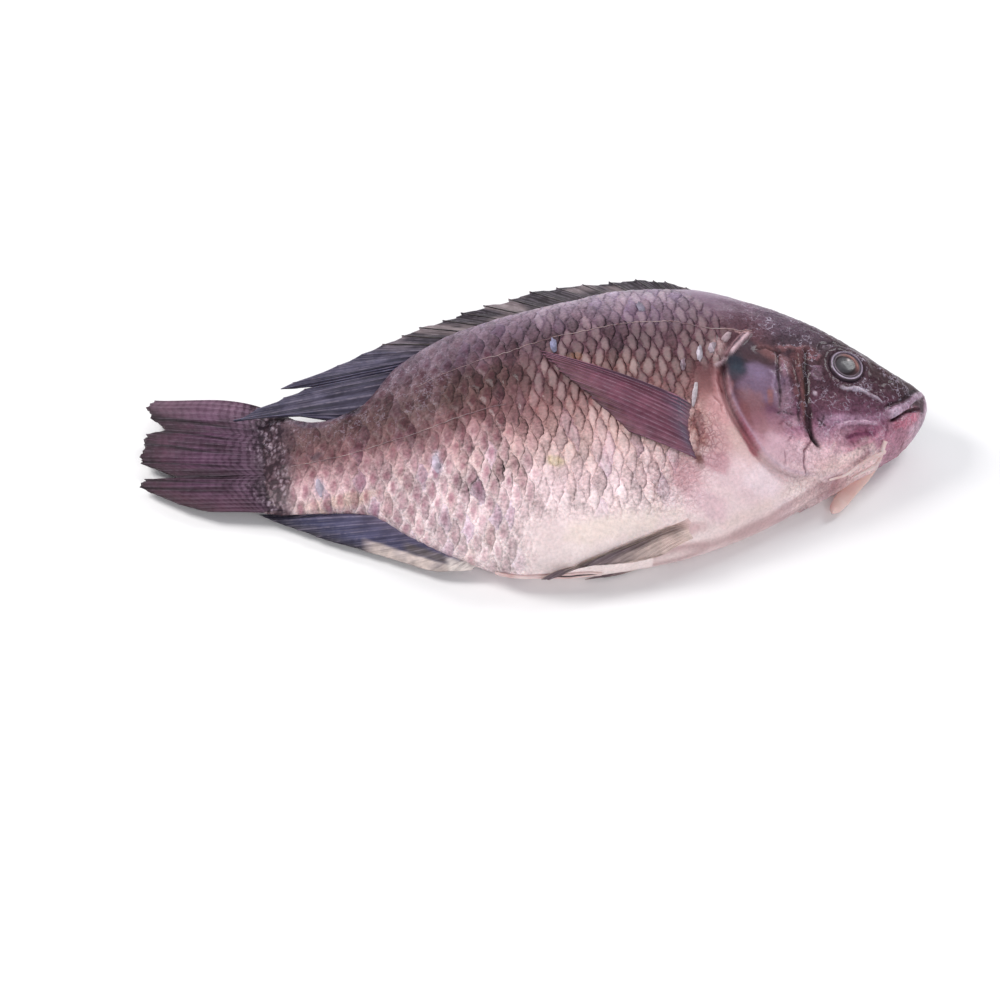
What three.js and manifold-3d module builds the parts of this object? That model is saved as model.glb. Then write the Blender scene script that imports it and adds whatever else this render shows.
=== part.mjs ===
// A whole raw freshwater fish, scaled and gutted, lying on its left side.
// Millimetres. +X points to the snout, +Y to the back fin and +Z up; the fish rests on z = 0.
// Every outline below is drawn in fish coordinates, whose zero is a point near the middle of the
// flank, and the finished solid is then moved by CENTRE so that its origin is under its middle.
import * as THREE from "three";
import { mergeVertices } from "three/addons/utils/BufferGeometryUtils.js";
import Module from "manifold-3d";

// Driving dimensions.
const CENTRE = { x: 1.35, y: 4.65 }; // middle of the finished outline, in fish coordinates
const SNOUT_X = 154.6;
const TAIL_ROOT_X = -104;
const FLATTEN_EDGE = 0.9; // roundness of the section: 1 is an ellipse, less is boxier
const BACK_HEAVY = 0.12; // how much thicker the section is towards the back
const RING_POINTS = 42; // points round one section
const TAIL_RINGS = 27; // sections from the tail root to the gill cover
const HEAD_RINGS = 31; // sections from the gill cover to the snout
const HEAD_STARTS_X = 68;

// Sections of the body: place along the fish, the back's and the belly's edge across it,
// half thickness, and the heights at which the back's and the belly's edge lie.
const SECTIONS = [
  // x, back, belly, half, backHeight, bellyHeight
  [TAIL_ROOT_X, 28.5, -20.6, 0.8, 7.2, 6.6],
  [-97, 26.4, -21.9, 3.6, 8.2, 6.6],
  [-90, 21.5, -22.3, 5.6, 9.0, 7.0],
  [-80, 18.6, -22.9, 7.5, 10.5, 7.5],
  [-65, 22.5, -26.0, 9.8, 12.5, 8.0],
  [-50, 38.0, -37.6, 13.2, 16.0, 9.0],
  [-30, 47.5, -50.6, 18.0, 20.0, 9.0],
  [-10, 51.8, -58.6, 21.5, 23.0, 9.0],
  [15, 55.3, -59.8, 24.0, 25.0, 9.0],
  [40, 58.6, -57.4, 25.0, 26.0, 9.0],
  [65, 57.2, -51.3, 25.0, 26.0, 9.0],
  [90, 47.6, -41.6, 24.5, 25.0, 10.0],
  [110, 36.2, -31.4, 23.0, 23.0, 12.0],
  [128, 22.7, -22.9, 20.0, 20.0, 13.0],
  [140, 13.0, -16.1, 15.5, 18.0, 14.0],
  [148, 9.7, -8.4, 10.5, 16.0, 14.0],
  [152.6, 7.0, -2.6, 6.0, 15.0, 14.0],
  [SNOUT_X, 2.5, 1.9, 0.3, 14.5, 14.4],
];

// Head: the gill cover's rear edge is nearly a circle round this point.
const COVER = { x: 104, y: -1, radius: 31, droop: 3, droopAngle: 242, droopSpread: 20 };
const COVER_RISE = { height: 1.5, width: 10 };
const COVER_GAP = { depth: 1.6, width: 1.8 };
const CHEEK_FOLD = { height: 0.9, width: 2.4, offset: 4, depth: 1.2, grooveWidth: 1.5, from: -26, to: 14 };
const CHEEK_GROOVE = [
  // across the fish, along the fish
  [-25, 106.5],
  [-21, 103],
  [-18, 101.8],
  [0, 103.6],
  [13, 105.6],
];
const EYE = { x: 120.2, y: 5.4, ball: 8.6, proud: 1.5, rim: 8.8, rimRise: 1.0, rimWidth: 1.7 };
const MOUTH = [
  // the slit, from its corner to the middle of the lips
  [134.6, -11.6],
  [139.5, -9.3],
  [144.5, -5.6],
  [149.0, -2.4],
  [153.0, 0.8],
];
const LIP_RADIUS = 1.6;
const LIP_OFFSET = 1.3;
const MOUTH_SLIT_RADIUS = 0.75;

// Belly: the gutting cut along the keel.
const CUT = { x: 2, y: -61.5, z: 5.6, length: 44, depth: 11, gap: 2.6 };

// Back fin: where each of its rays leaves the back, and where the ray ends.
const BACK_FIN = [
  // base x, tip x, tip y, tip z
  [79, 77, 61.0, 24.5],
  [73, 61, 70.2, 24],
  [66, 51, 72.6, 23.5],
  [52, 30, 73.4, 23],
  [36, 10, 71.6, 23],
  [20, -8, 66.8, 22.5],
  [5, -25, 61.2, 22],
  [-10, -41, 56.0, 21],
  [-22, -55, 49.6, 20],
  [-29, -72, 42.6, 18],
  [-34, -98.4, 32.9, 16],
  [-40, -86, 33.6, 15],
  [-48, -100, 28.2, 14],
  [-56, -117, 21.0, 12.5],
  [-63, -98, 22.8, 12.5],
  [-69, -77, 18.8, 12],
];
const BACK_FIN_RAYS = 28;
const FIN_SINK = 5; // how deep the back fin and the rear fin start inside the body

// Rear belly fin, in the same way.
const REAR_FIN = [
  [-22, -28, -52.9, 4.8],
  [-26, -40, -51.8, 4.2],
  [-31, -53, -46.0, 3.7],
  [-36, -64, -40.8, 3.4],
  [-41, -74, -36.2, 3.3],
  [-47, -84, -31.6, 3.2],
  [-53, -95, -25.6, 3.2],
  [-59, -107, -18.8, 3.5],
  [-64, -98, -21.2, 4.5],
  [-69, -80, -24.6, 6],
];
const REAR_FIN_RAYS = 14;

// Tail fin: from its upper to its lower edge, with the splits between its frayed rays. Its tips are
// joined by straight edges, and its upper rays are bowed.
const TAIL_FIN = [
  // root x, y, z, then tip x, y, z
  [-96, 25.4, 7.6, -147.1, 40.6, 5.5],
  [-96, 21.4, 7.4, -150.2, 37.4, 5.5],
  [-96, 17.6, 7.3, -148.5, 32.0, 5.3],
  [-96, 14.0, 7.2, -142.3, 25.3, 5.0],
  [-96, 10.6, 7.1, -150.7, 24.2, 4.8],
  [-96, 7.2, 7.0, -151.3, 19.0, 4.6],
  [-96, 4.0, 7.0, -152.4, 13.0, 4.4],
  [-96, 0.6, 7.0, -151.9, 9.9, 4.2],
  [-96, -2.8, 7.0, -137.9, 1.4, 4.2],
  [-96, -6.2, 7.0, -151.0, 2.2, 4.0],
  [-96, -9.6, 7.0, -152.3, -1.7, 4.0],
  [-96, -13.2, 7.0, -145.8, -6.2, 4.2],
  [-96, -17.0, 7.0, -137.2, -11.6, 4.6],
  [-96, -20.8, 6.9, -126.0, -16.6, 5.0],
];
const TAIL_FIN_RAYS = 26;
const TAIL_BOW = 0.44; // share of a ray's length
const BOW_ENDS = 0.3; // how far across a fin the bow of its rays fades out

// Breast fin: it lies back over the flank, and leaves it under a fleshy lobe.
const BREAST_FIN = [
  // root x, root y, tip x, tip y
  [64, -12, 4.5, 19.8],
  [63, -16.5, 5.5, 17],
  [62, -21.5, 10, 9.6],
  [61.5, -26.5, 20, -3],
  [61.5, -31, 33, -18],
];
const BREAST_FIN_RAYS = 12;
const BREAST_LOBE = { x: 61.5, y: -21.5, halfLength: 6.2, halfHeight: 10.5, rise: 2.7 };

// Belly fins: they lie back along the keel, the right one on the flank's edge, the left one under it.
const BELLY_FIN_RIGHT = [
  // root x, y, z, then tip x, y, z
  [53, -47.6, 14, -3, -61.6, 5.0],
  [54, -48.8, 12, 2, -62.6, 4.6],
  [54.6, -50.0, 10, 10, -62.9, 6.0],
  [55, -51.2, 8, 22, -62.1, 7.0],
  [55.4, -52.4, 6.5, 34, -60.0, 8.0],
];
const BELLY_BOW = -0.22;
const BELLY_FIN_LEFT = [
  [56, -49, 5.5, 14, -58.5, 1.6],
  [55, -45, 3.5, 26, -57.0, 0.9],
  [54, -41, 1.5, 40, -53.0, 0.7],
];

// Throat flap: a leaf of the gill membrane that hangs from the throat.
const THROAT_FLAP = [
  // x, y, z and half width along its middle line
  [132.5, -17.0, 9.0, 1.6],
  [128, -20.4, 6.4, 2.5],
  [122.8, -24.4, 4.4, 3.1],
  [117.8, -29.2, 3.4, 3.1],
  [114.2, -33.2, 3.0, 2.6],
  [112.4, -35.4, 2.8, 1.7],
  [111.6, -36.6, 2.7, 0.4],
];
const FLAP_STEPS = 14;
const FLAP_HALF_THICKNESS = 0.9;

// The cubic through rows of [x, value, ...] that never overshoots them.
function smooth(rows, column = 1) {
  const xs = rows.map((row) => row[0]);
  const ys = rows.map((row) => row[column]);
  const slopes = xs.slice(1).map((x, i) => (ys[i + 1] - ys[i]) / (x - xs[i]));
  const tangents = xs.map((_, i) => {
    if (i === 0) return slopes[0];
    if (i === xs.length - 1) return slopes[i - 1];
    const [a, b] = [slopes[i - 1], slopes[i]];
    return a * b > 0 ? (2 * a * b) / (a + b) : 0;
  });
  return (x) => {
    const at = THREE.MathUtils.clamp(x, xs[0], xs[xs.length - 1]);
    const next = xs.findIndex((edge) => edge >= at);
    const i = Math.max(next - 1, 0);
    const h = xs[i + 1] - xs[i];
    const t = (at - xs[i]) / h;
    const ease = t * t * (3 - 2 * t);
    const bend = t * (1 - t) * h * ((1 - t) * tangents[i] - t * tangents[i + 1]);
    return ys[i] + (ys[i + 1] - ys[i]) * ease + bend;
  };
}

const back = smooth(SECTIONS, 1);
const belly = smooth(SECTIONS, 2);
const half = smooth(SECTIONS, 3);
const backHeight = smooth(SECTIONS, 4);
const bellyHeight = smooth(SECTIONS, 5);
const grooveX = smooth(CHEEK_GROOVE);

const bump = (distance, width) => Math.exp(-((distance / width) ** 2));

// The smooth body: x along it and an angle round it, 0 at the back and 90 degrees on top.
function skin(x, angle) {
  const across = Math.cos(angle);
  const up = Math.sign(Math.sin(angle)) * Math.abs(Math.sin(angle)) ** FLATTEN_EDGE;
  const y = (back(x) + belly(x)) / 2 + ((back(x) - belly(x)) / 2) * across;
  const middle = (backHeight(x) + bellyHeight(x)) / 2;
  const tilt = ((backHeight(x) - bellyHeight(x)) / 2) * across;
  const z = middle + tilt + half(x) * up * (1 + BACK_HEAVY * across);
  return new THREE.Vector3(x, y, z);
}

// The height of the upper flank over a point.
function flankHeight(x, y) {
  const middle = (back(x) + belly(x)) / 2;
  const across = (y - middle) / ((back(x) - belly(x)) / 2);
  return skin(x, Math.acos(THREE.MathUtils.clamp(across, -1, 1))).z;
}

// How far the gill cover, the cheek groove, the eye's rim and the lobe at the breast fin's root
// stand out of the smooth body.
function relief(x, y) {
  const dx = x - COVER.x;
  const dy = y - COVER.y;
  const angle = (THREE.MathUtils.radToDeg(Math.atan2(dy, dx)) + 360) % 360;
  const edge = COVER.radius + COVER.droop * bump(angle - COVER.droopAngle, COVER.droopSpread);
  const inside = edge - Math.hypot(dx, dy);
  const fade = THREE.MathUtils.smoothstep(angle, 125, 150) * (1 - THREE.MathUtils.smoothstep(angle, 290, 315));
  let rise = 0;
  if (inside > 0) rise += fade * COVER_RISE.height * bump(inside, COVER_RISE.width);
  else rise -= fade * COVER_GAP.depth * bump(inside + 1, COVER_GAP.width);
  const fold = CHEEK_FOLD;
  if (y > fold.from && y < fold.to) {
    const off = x - grooveX(y);
    rise += fold.height * bump(off + fold.offset, fold.width) - fold.depth * bump(off, fold.grooveWidth);
  }
  rise += EYE.rimRise * bump(Math.hypot(x - EYE.x, y - EYE.y) - EYE.rim, EYE.rimWidth);
  const lobe = BREAST_LOBE;
  rise += lobe.rise * bump(Math.hypot((x - lobe.x) / lobe.halfLength, (y - lobe.y) / lobe.halfHeight), 1);
  return rise;
}

// A closed solid through rings that have the same even number of points. Each end is closed by
// stitching the first half of its ring to the second half.
function loft(rings) {
  const count = rings[0].length;
  const indices = [];
  rings.slice(1).forEach((_, r) => {
    for (let i = 0; i < count; i++) {
      const [a, b] = [r * count + i, r * count + ((i + 1) % count)];
      indices.push(a, b, b + count, a, b + count, a + count);
    }
  });
  const stitch = (start, flip) => {
    for (let i = 0; i < count / 2 - 1; i++) {
      const [a, b, c, d] = [i, i + 1, count - 2 - i, count - 1 - i].map((k) => start + k);
      if (flip) indices.push(a, b, c, a, c, d);
      else indices.push(a, c, b, a, d, c);
    }
  };
  stitch(0, false);
  stitch((rings.length - 1) * count, true);
  const geometry = new THREE.BufferGeometry().setFromPoints(rings.flat()).setIndex(indices);
  return geometry;
}

// Signed volume of a closed geometry: negative when its faces point inwards.
function signedVolume(geometry) {
  const [a, b, c] = [new THREE.Vector3(), new THREE.Vector3(), new THREE.Vector3()];
  const { position } = geometry.attributes;
  let six = 0;
  for (let i = 0; i < geometry.index.count; i += 3) {
    [a, b, c].forEach((corner, k) => corner.fromBufferAttribute(position, geometry.index.getX(i + k)));
    six += a.dot(b.cross(c));
  }
  return six / 6;
}

const wasm = await Module();
wasm.setup();

// The geometry as a solid that manifold-3d can join and cut.
function solid(geometry) {
  const bare = geometry.clone();
  bare.deleteAttribute("normal");
  bare.deleteAttribute("uv");
  const merged = mergeVertices(bare, 1e-4);
  const turned = signedVolume(merged) < 0;
  const triangles = [];
  for (let i = 0; i < merged.index.count; i += 3) {
    const [a, b, c] = [0, 1, 2].map((k) => merged.index.getX(i + k));
    if (a !== b && b !== c && c !== a) triangles.push(...(turned ? [a, c, b] : [a, b, c]));
  }
  return new wasm.Manifold(
    new wasm.Mesh({
      numProp: 3,
      vertProperties: merged.attributes.position.array,
      triVerts: new Uint32Array(triangles),
    }),
  );
}

// The body with its head. The side that it lies on is pressed flat where it meets z = 0.
function body() {
  const places = [];
  for (let i = 0; i < TAIL_RINGS; i++) {
    places.push(THREE.MathUtils.lerp(TAIL_ROOT_X, HEAD_STARTS_X, i / TAIL_RINGS));
  }
  for (let i = 0; i <= HEAD_RINGS; i++) {
    places.push(THREE.MathUtils.lerp(HEAD_STARTS_X, SNOUT_X, 1 - (1 - i / HEAD_RINGS) ** 1.25));
  }
  const rings = places.map((x) => {
    const ring = [];
    for (let i = 0; i < RING_POINTS; i++) {
      const angle = ((i + 0.5) / RING_POINTS) * 2 * Math.PI;
      const step = 0.01;
      const point = skin(x, angle);
      const along = skin(x + step, angle).sub(skin(x - step, angle));
      const round = skin(x, angle + step).sub(skin(x, angle - step));
      const outward = round.cross(along).normalize();
      if (outward.dot(new THREE.Vector3(0, Math.cos(angle), Math.sin(angle))) < 0) outward.negate();
      const onFlank = Math.abs(Math.sin(angle)) ** 0.5;
      point.addScaledVector(outward, relief(x, point.y) * onFlank);
      point.z = Math.max(point.z, 0);
      ring.push(point);
    }
    return ring;
  });
  return solid(loft(rings));
}

const UP = new THREE.Vector3(0, 0, 1);

// A fin: a thin pleated blade, thickest on its rays, whose edge is notched between them. The rows
// of root and tip say where it starts and ends, bow bends its rays, and place settles a point that
// lies on the body.
function fin({ root, tip, rays, thick, notch, normal = UP, steps = 4, bow = () => 0, place }) {
  const rings = [];
  for (let i = 0; i <= 2 * rays; i++) {
    const t = i / (2 * rays);
    const onRay = i % 2 === 0;
    const [from, to] = [root(t), tip(t)];
    const reach = onRay ? 1 : 1 - notch;
    const aside = to.clone().sub(from).cross(UP).multiplyScalar(bow(t));
    const faces = [1, -1].map((side) => {
      const face = [];
      for (let k = 0; k <= steps; k++) {
        const s = k / steps;
        const point = from.clone().lerp(to, s * reach);
        point.addScaledVector(aside, s * reach * (1 - s * reach) ** 1.5);
        if (place) place(point, s);
        const width = thick * (1 - 0.55 * s) * (onRay ? 1 : 0.6);
        face.push(point.addScaledVector(normal, (side * width) / 2));
      }
      return face;
    });
    rings.push([...faces[0], ...faces[1].reverse()]);
  }
  return solid(loft(rings));
}

// A line through rows of numbers, as a function of 0 to 1: three columns from the given one.
function line(rows, column) {
  const count = rows.length - 1;
  const indexed = rows.map((row, i) => [i / count, ...row.slice(column)]);
  const [x, y, z] = [1, 2, 3].map((k) => smooth(indexed, k));
  return (t) => new THREE.Vector3(x(t), y(t), z(t));
}

// The same with straight stretches between the rows.
function polyline(rows, column) {
  const corners = rows.map((row) => new THREE.Vector3(...row.slice(column, column + 3)));
  return (t) => {
    const at = t * (rows.length - 1);
    const i = Math.min(Math.floor(at), rows.length - 2);
    return corners[i].clone().lerp(corners[i + 1], at - i);
  };
}

// A fin that stands on the back or the belly edge of the body, by rows of [base x, tip x, y, z].
function edgeFin(rows, edge, edgeHeight, sink) {
  const count = rows.length - 1;
  const rootX = smooth(rows.map((row, i) => [i / count, row[0]]));
  const root = (t) => new THREE.Vector3(rootX(t), edge(rootX(t)) - sink, edgeHeight(rootX(t)));
  return { root, tip: line(rows, 1) };
}

const backFin = () =>
  fin({ ...edgeFin(BACK_FIN, back, backHeight, FIN_SINK), rays: BACK_FIN_RAYS, thick: 2.6, notch: 0.06 });

const rearFin = () =>
  fin({ ...edgeFin(REAR_FIN, belly, bellyHeight, -FIN_SINK), rays: REAR_FIN_RAYS, thick: 2.6, notch: 0.05 });

// The bow of a fin whose first rays are bent.
const bowed = (amount) => (t) => amount * (1 - THREE.MathUtils.smoothstep(t, 0, BOW_ENDS));

function tailFin() {
  const [root, tip] = [line(TAIL_FIN, 0), polyline(TAIL_FIN, 3)];
  return fin({ root, tip, rays: TAIL_FIN_RAYS, thick: 3.4, notch: 0.02, bow: bowed(TAIL_BOW) });
}

// One breast fin, on the upper flank or pressed flat under the lower one.
function breastFin(height) {
  const rows = BREAST_FIN.map(([rootX, rootY, tipX, tipY]) => [rootX, rootY, 0, tipX, tipY, 0]);
  const place = (point, s) => {
    point.z = height(point.x, point.y, s);
  };
  return fin({
    root: line(rows, 0),
    tip: line(rows, 3),
    rays: BREAST_FIN_RAYS,
    thick: 2.4,
    notch: 0.05,
    steps: 7,
    place,
  });
}

// It starts inside the flank, stands a little proud of it past its root and sinks to it at its tip.
const breastLift = (s) => -0.8 + 2.6 * THREE.MathUtils.smoothstep(s, 0.03, 0.2) - 0.8 * s;
const upperBreastFin = () => breastFin((x, y, s) => flankHeight(x, y) + breastLift(s));
const lowerBreastFin = () => breastFin(() => 0.7);

// A belly fin: rows of root and tip points, with the blade's own tilt and bow.
function blade(rows, rays, thick, tilt, bow, place) {
  const normal = new THREE.Vector3(0, -Math.sin(tilt), Math.cos(tilt));
  const [root, tip] = [line(rows, 0), line(rows, 3)];
  return fin({ root, tip, rays, thick, notch: 0.02, normal, steps: 6, bow: bowed(bow), place });
}

// What lies over the flank's lower edge: on the flank it follows it, and past the keel it droops.
function overKeel(point, s) {
  const { smoothstep, lerp } = THREE.MathUtils;
  const keel = belly(point.x) + 0.3;
  const lift = -0.6 + 1.7 * smoothstep(s, 0, 0.2);
  const onFlank = flankHeight(point.x, Math.max(point.y, keel)) + lift;
  const past = smoothstep(keel - point.y, 0.5, 5);
  point.z = lerp(onFlank, Math.min(point.z, onFlank), past);
  point.y -= 0.6 * lift * smoothstep(keel + 8 - point.y, 0, 8);
}

// The throat flap: a lens-shaped section along its middle line.
function throatFlap() {
  const rows = THROAT_FLAP.map((row, i) => [i / (THROAT_FLAP.length - 1), ...row]);
  const [x, y, z, halfWidth] = [1, 2, 3, 4].map((column) => smooth(rows, column));
  const middle = (t) => new THREE.Vector3(x(t), y(t), z(t));
  const rings = [];
  for (let i = 0; i <= FLAP_STEPS; i++) {
    const t = i / FLAP_STEPS;
    const [before, after] = [middle(Math.max(t - 0.01, 0)), middle(Math.min(t + 0.01, 1))];
    const side = after.sub(before).cross(UP).normalize();
    const reach = [side.multiplyScalar(halfWidth(t)), UP.clone().multiplyScalar(FLAP_HALF_THICKNESS)];
    rings.push([1, -1].flatMap((sign) => reach.map((step) => middle(t).addScaledVector(step, sign))));
  }
  return solid(loft(rings));
}

// Both eyeballs, set into the head.
function eyes() {
  const top = flankHeight(EYE.x, EYE.y);
  const ball = (z) => solid(new THREE.SphereGeometry(EYE.ball, 20, 12).rotateX(Math.PI / 2).translate(EYE.x, EYE.y, z));
  return ball(top + EYE.proud - EYE.ball).add(ball(EYE.ball - 0.8));
}

// A path on the surface round the snout: along the upper side of the mouth line, moved by offset
// across it, round the front and back along the lower side.
function mouthPath(offset) {
  const side = (lower) =>
    MOUTH.map(([x, y], i) => {
      const [px, py] = MOUTH[Math.max(i - 1, 0)];
      const [nx, ny] = MOUTH[Math.min(i + 1, MOUTH.length - 1)];
      const length = Math.hypot(nx - px, ny - py);
      const at = [x - (offset * (ny - py)) / length, y + (offset * (nx - px)) / length];
      const top = flankHeight(...at);
      const middle = (backHeight(at[0]) + bellyHeight(at[0])) / 2;
      return new THREE.Vector3(...at, lower ? 2 * middle - top : top);
    });
  return new THREE.CatmullRomCurve3([...side(false), ...side(true).reverse()]);
}

// A round rod along a path.
function rod(path, radius, steps, sides = 8) {
  const section = new THREE.Shape();
  for (let i = 0; i < sides; i++) {
    const angle = (i / sides) * 2 * Math.PI;
    const point = [radius * Math.cos(angle), radius * Math.sin(angle)];
    if (i === 0) section.moveTo(...point);
    else section.lineTo(...point);
  }
  return solid(new THREE.ExtrudeGeometry(section, { extrudePath: path, steps, bevelEnabled: false }));
}

// The lips are joined on and the slit between them is cut in.
function withMouth(head) {
  const upper = rod(mouthPath(LIP_OFFSET), LIP_RADIUS, 26);
  const lower = rod(mouthPath(-LIP_OFFSET), LIP_RADIUS, 26);
  const slit = rod(mouthPath(0), MOUTH_SLIT_RADIUS, 26, 6);
  return head.add(upper).add(lower).subtract(slit);
}

function bellyCut() {
  const lens = new THREE.SphereGeometry(1, 20, 10).scale(CUT.length / 2, CUT.depth / 2, CUT.gap / 2);
  return solid(lens.translate(CUT.x, CUT.y, CUT.z));
}

// Everything below z = 0 is taken off, so that the fish rests flat.
function underside() {
  const [length, width, depth] = [400, 300, 40];
  return solid(new THREE.BoxGeometry(length, width, depth).translate(0, 0, -depth / 2));
}

// The largest closed surface alone: a hollow that joining has sealed is filled, a scrap is dropped.
function largest(made) {
  return made.decompose().reduce((a, b) => (a.volume() > b.volume() ? a : b));
}

function fish() {
  let whole = withMouth(body()).subtract(bellyCut());
  const parts = [
    eyes(),
    backFin(),
    rearFin(),
    tailFin(),
    upperBreastFin(),
    lowerBreastFin(),
    blade(BELLY_FIN_RIGHT, 8, 2.2, 0.8, BELLY_BOW, overKeel),
    blade(BELLY_FIN_LEFT, 5, 1.6, 0.2, 0),
    throatFlap(),
  ];
  for (const part of parts) whole = whole.add(part);
  return largest(whole.subtract(underside()));
}

// The joined solid as a mesh, moved so that its origin is under its middle.
function meshOf(name, made, material) {
  const { vertProperties, numProp, triVerts } = made.getMesh();
  const geometry = new THREE.BufferGeometry();
  geometry.setAttribute("position", new THREE.BufferAttribute(new Float32Array(vertProperties), numProp));
  geometry.setIndex(new THREE.BufferAttribute(triVerts, 1));
  geometry.translate(-CENTRE.x, -CENTRE.y, 0);
  const mesh = new THREE.Mesh(geometry, material);
  mesh.name = name;
  return mesh;
}

const skinMaterial = new THREE.MeshStandardMaterial({ color: 0x7a6468, roughness: 0.42, metalness: 0 });

const group = new THREE.Group();
group.add(meshOf("fish", fish(), skinMaterial));
export default group;
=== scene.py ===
"""A whole raw freshwater fish, lying on its left side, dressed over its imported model."""

import math

import bpy
import numpy as np
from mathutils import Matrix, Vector


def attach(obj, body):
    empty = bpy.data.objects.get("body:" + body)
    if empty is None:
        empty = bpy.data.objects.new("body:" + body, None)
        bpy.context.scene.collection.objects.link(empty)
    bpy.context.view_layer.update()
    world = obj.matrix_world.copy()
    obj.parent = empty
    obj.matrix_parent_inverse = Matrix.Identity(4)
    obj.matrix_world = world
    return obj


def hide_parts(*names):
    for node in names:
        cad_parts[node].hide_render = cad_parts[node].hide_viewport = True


bl_info = {
    "name": "Raw Fish",
    "version": (1, 0, 0),
    "blender": (4, 5, 0),
    "location": "3D View > Sidebar > Raw Fish",
    "description": "Builds the skin, fins, eyes and small details of a whole raw fish over its packed model",
    "category": "Object",
}

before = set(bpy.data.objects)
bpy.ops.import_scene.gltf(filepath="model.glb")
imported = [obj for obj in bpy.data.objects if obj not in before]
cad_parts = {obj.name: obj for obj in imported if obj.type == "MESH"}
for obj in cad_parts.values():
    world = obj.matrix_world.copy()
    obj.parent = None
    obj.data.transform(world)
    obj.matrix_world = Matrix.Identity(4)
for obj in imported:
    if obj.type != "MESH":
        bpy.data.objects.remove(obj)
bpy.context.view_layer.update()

MM = 0.001
BODY = "root"
NODE = "fish"

# ---------------------------------------------------------------- the body, in millimetres
# Every shape is drawn in fish coordinates, +X to the snout, +Y to the back fin and +Z up, whose
# zero is a point near the middle of the flank. CENTRE moves it over the origin of the model.
CENTRE = (1.35, 4.65)
SNOUT_X = 154.6
TAIL_ROOT_X = -104.0
HEAD_STARTS_X = 68.0
FLATTEN_EDGE = 0.9
BACK_HEAVY = 0.12

# Place along the fish, the back's and the belly's edge across it, half thickness, and the heights
# at which the back's and the belly's edge lie.
SECTIONS = [
    (TAIL_ROOT_X, 28.5, -20.6, 0.8, 7.2, 6.6),
    (-97, 26.4, -21.9, 3.6, 8.2, 6.6),
    (-90, 21.5, -22.3, 5.6, 9.0, 7.0),
    (-80, 18.6, -22.9, 7.5, 10.5, 7.5),
    (-65, 22.5, -26.0, 9.8, 12.5, 8.0),
    (-50, 38.0, -37.6, 13.2, 16.0, 9.0),
    (-30, 47.5, -50.6, 18.0, 20.0, 9.0),
    (-10, 51.8, -58.6, 21.5, 23.0, 9.0),
    (15, 55.3, -59.8, 24.0, 25.0, 9.0),
    (40, 58.6, -57.4, 25.0, 26.0, 9.0),
    (65, 57.2, -51.3, 25.0, 26.0, 9.0),
    (90, 47.6, -41.6, 24.5, 25.0, 10.0),
    (110, 36.2, -31.4, 23.0, 23.0, 12.0),
    (128, 22.7, -22.9, 20.0, 20.0, 13.0),
    (140, 13.0, -16.1, 15.5, 18.0, 14.0),
    (148, 9.7, -8.4, 10.5, 16.0, 14.0),
    (152.6, 7.0, -2.6, 6.0, 15.0, 14.0),
    (SNOUT_X, 2.5, 1.9, 0.3, 14.5, 14.4),
]

# The gill cover's rear edge is nearly a circle round this point.
COVER_X = 104.0
COVER_Y = -1.0
COVER_RADIUS = 31.0
COVER_DROOP = 3.0
COVER_DROOP_ANGLE = 242.0
COVER_DROOP_SPREAD = 20.0

CHEEK_GROOVE = [(-25, 106.5), (-21, 103), (-18, 101.8), (0, 103.6), (13, 105.6)]
EYE_X = 120.2
EYE_Y = 5.4
EYE_RIM = 8.8

# The lateral line runs in two stretches.
UPPER_LINE = [
    (86, 21.9), (69.5, 24.3), (56, 29.2), (41.7, 30), (30.8, 29.1), (18.7, 27.5), (13.7, 27.4),
    (-12, 22.4), (-17.5, 22.5), (-24, 21.2), (-30, 20.7), (-39.8, 18.1), (-43.4, 17.6),
]
LOWER_LINE = [
    (-10.4, -0.9), (-17, -0.9), (-26, -1.7), (-35.5, -2.5), (-47.8, -3.5), (-56, -3.3),
    (-63.7, -3.7), (-70, -4.2), (-79.5, -4.5), (-88, -4), (-93, -3.4),
]

# The middle row of scale pockets follows this line.
POCKET_ROW = [(-110, -4.2), (-60, -3.6), (-20, -1.5), (10, 0.5), (40, 2.0), (70, 1.5), (100, -2)]


def smooth_curve(rows, column=1):
    """The cubic through rows of (x, value, ...) that never overshoots them."""
    xs = np.array([row[0] for row in rows], float)
    ys = np.array([row[column] for row in rows], float)
    slopes = np.diff(ys) / np.diff(xs)
    tangents = np.concatenate([slopes[:1], slopes])
    before, after = slopes[:-1], slopes[1:]
    same_way = before * after > 0
    total = np.where(same_way, before + after, 1.0)
    tangents[1:-1] = np.where(same_way, 2 * before * after / total, 0.0)

    def value(x):
        at = np.clip(x, xs[0], xs[-1])
        i = np.clip(np.searchsorted(xs, at, side="left") - 1, 0, len(xs) - 2)
        step = xs[i + 1] - xs[i]
        t = (at - xs[i]) / step
        ease = t * t * (3 - 2 * t)
        bend = t * (1 - t) * step * ((1 - t) * tangents[i] - t * tangents[i + 1])
        return ys[i] + (ys[i + 1] - ys[i]) * ease + bend

    return value


back_edge = smooth_curve(SECTIONS, 1)
belly_edge = smooth_curve(SECTIONS, 2)
half_thickness = smooth_curve(SECTIONS, 3)
back_height = smooth_curve(SECTIONS, 4)
belly_height = smooth_curve(SECTIONS, 5)
cheek_groove = smooth_curve(CHEEK_GROOVE)
pocket_row = smooth_curve(POCKET_ROW)


def bump(distance, width):
    return np.exp(-((distance / width) ** 2))


def smoothstep(value, low, high):
    t = np.clip((value - low) / (high - low), 0, 1)
    return t * t * (3 - 2 * t)


def band(distance, half_width):
    """1 along the middle of a line, and 0 past its soft edges."""
    return 1 - smoothstep(distance, 0.5 * half_width, 1.3 * half_width)


def between(value, low, high, soft):
    """1 from low to high, with soft edges."""
    return smoothstep(value, low - soft, low + soft) * (1 - smoothstep(value, high - soft, high + soft))


def lerp(a, b, t):
    return a + (b - a) * t


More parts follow.
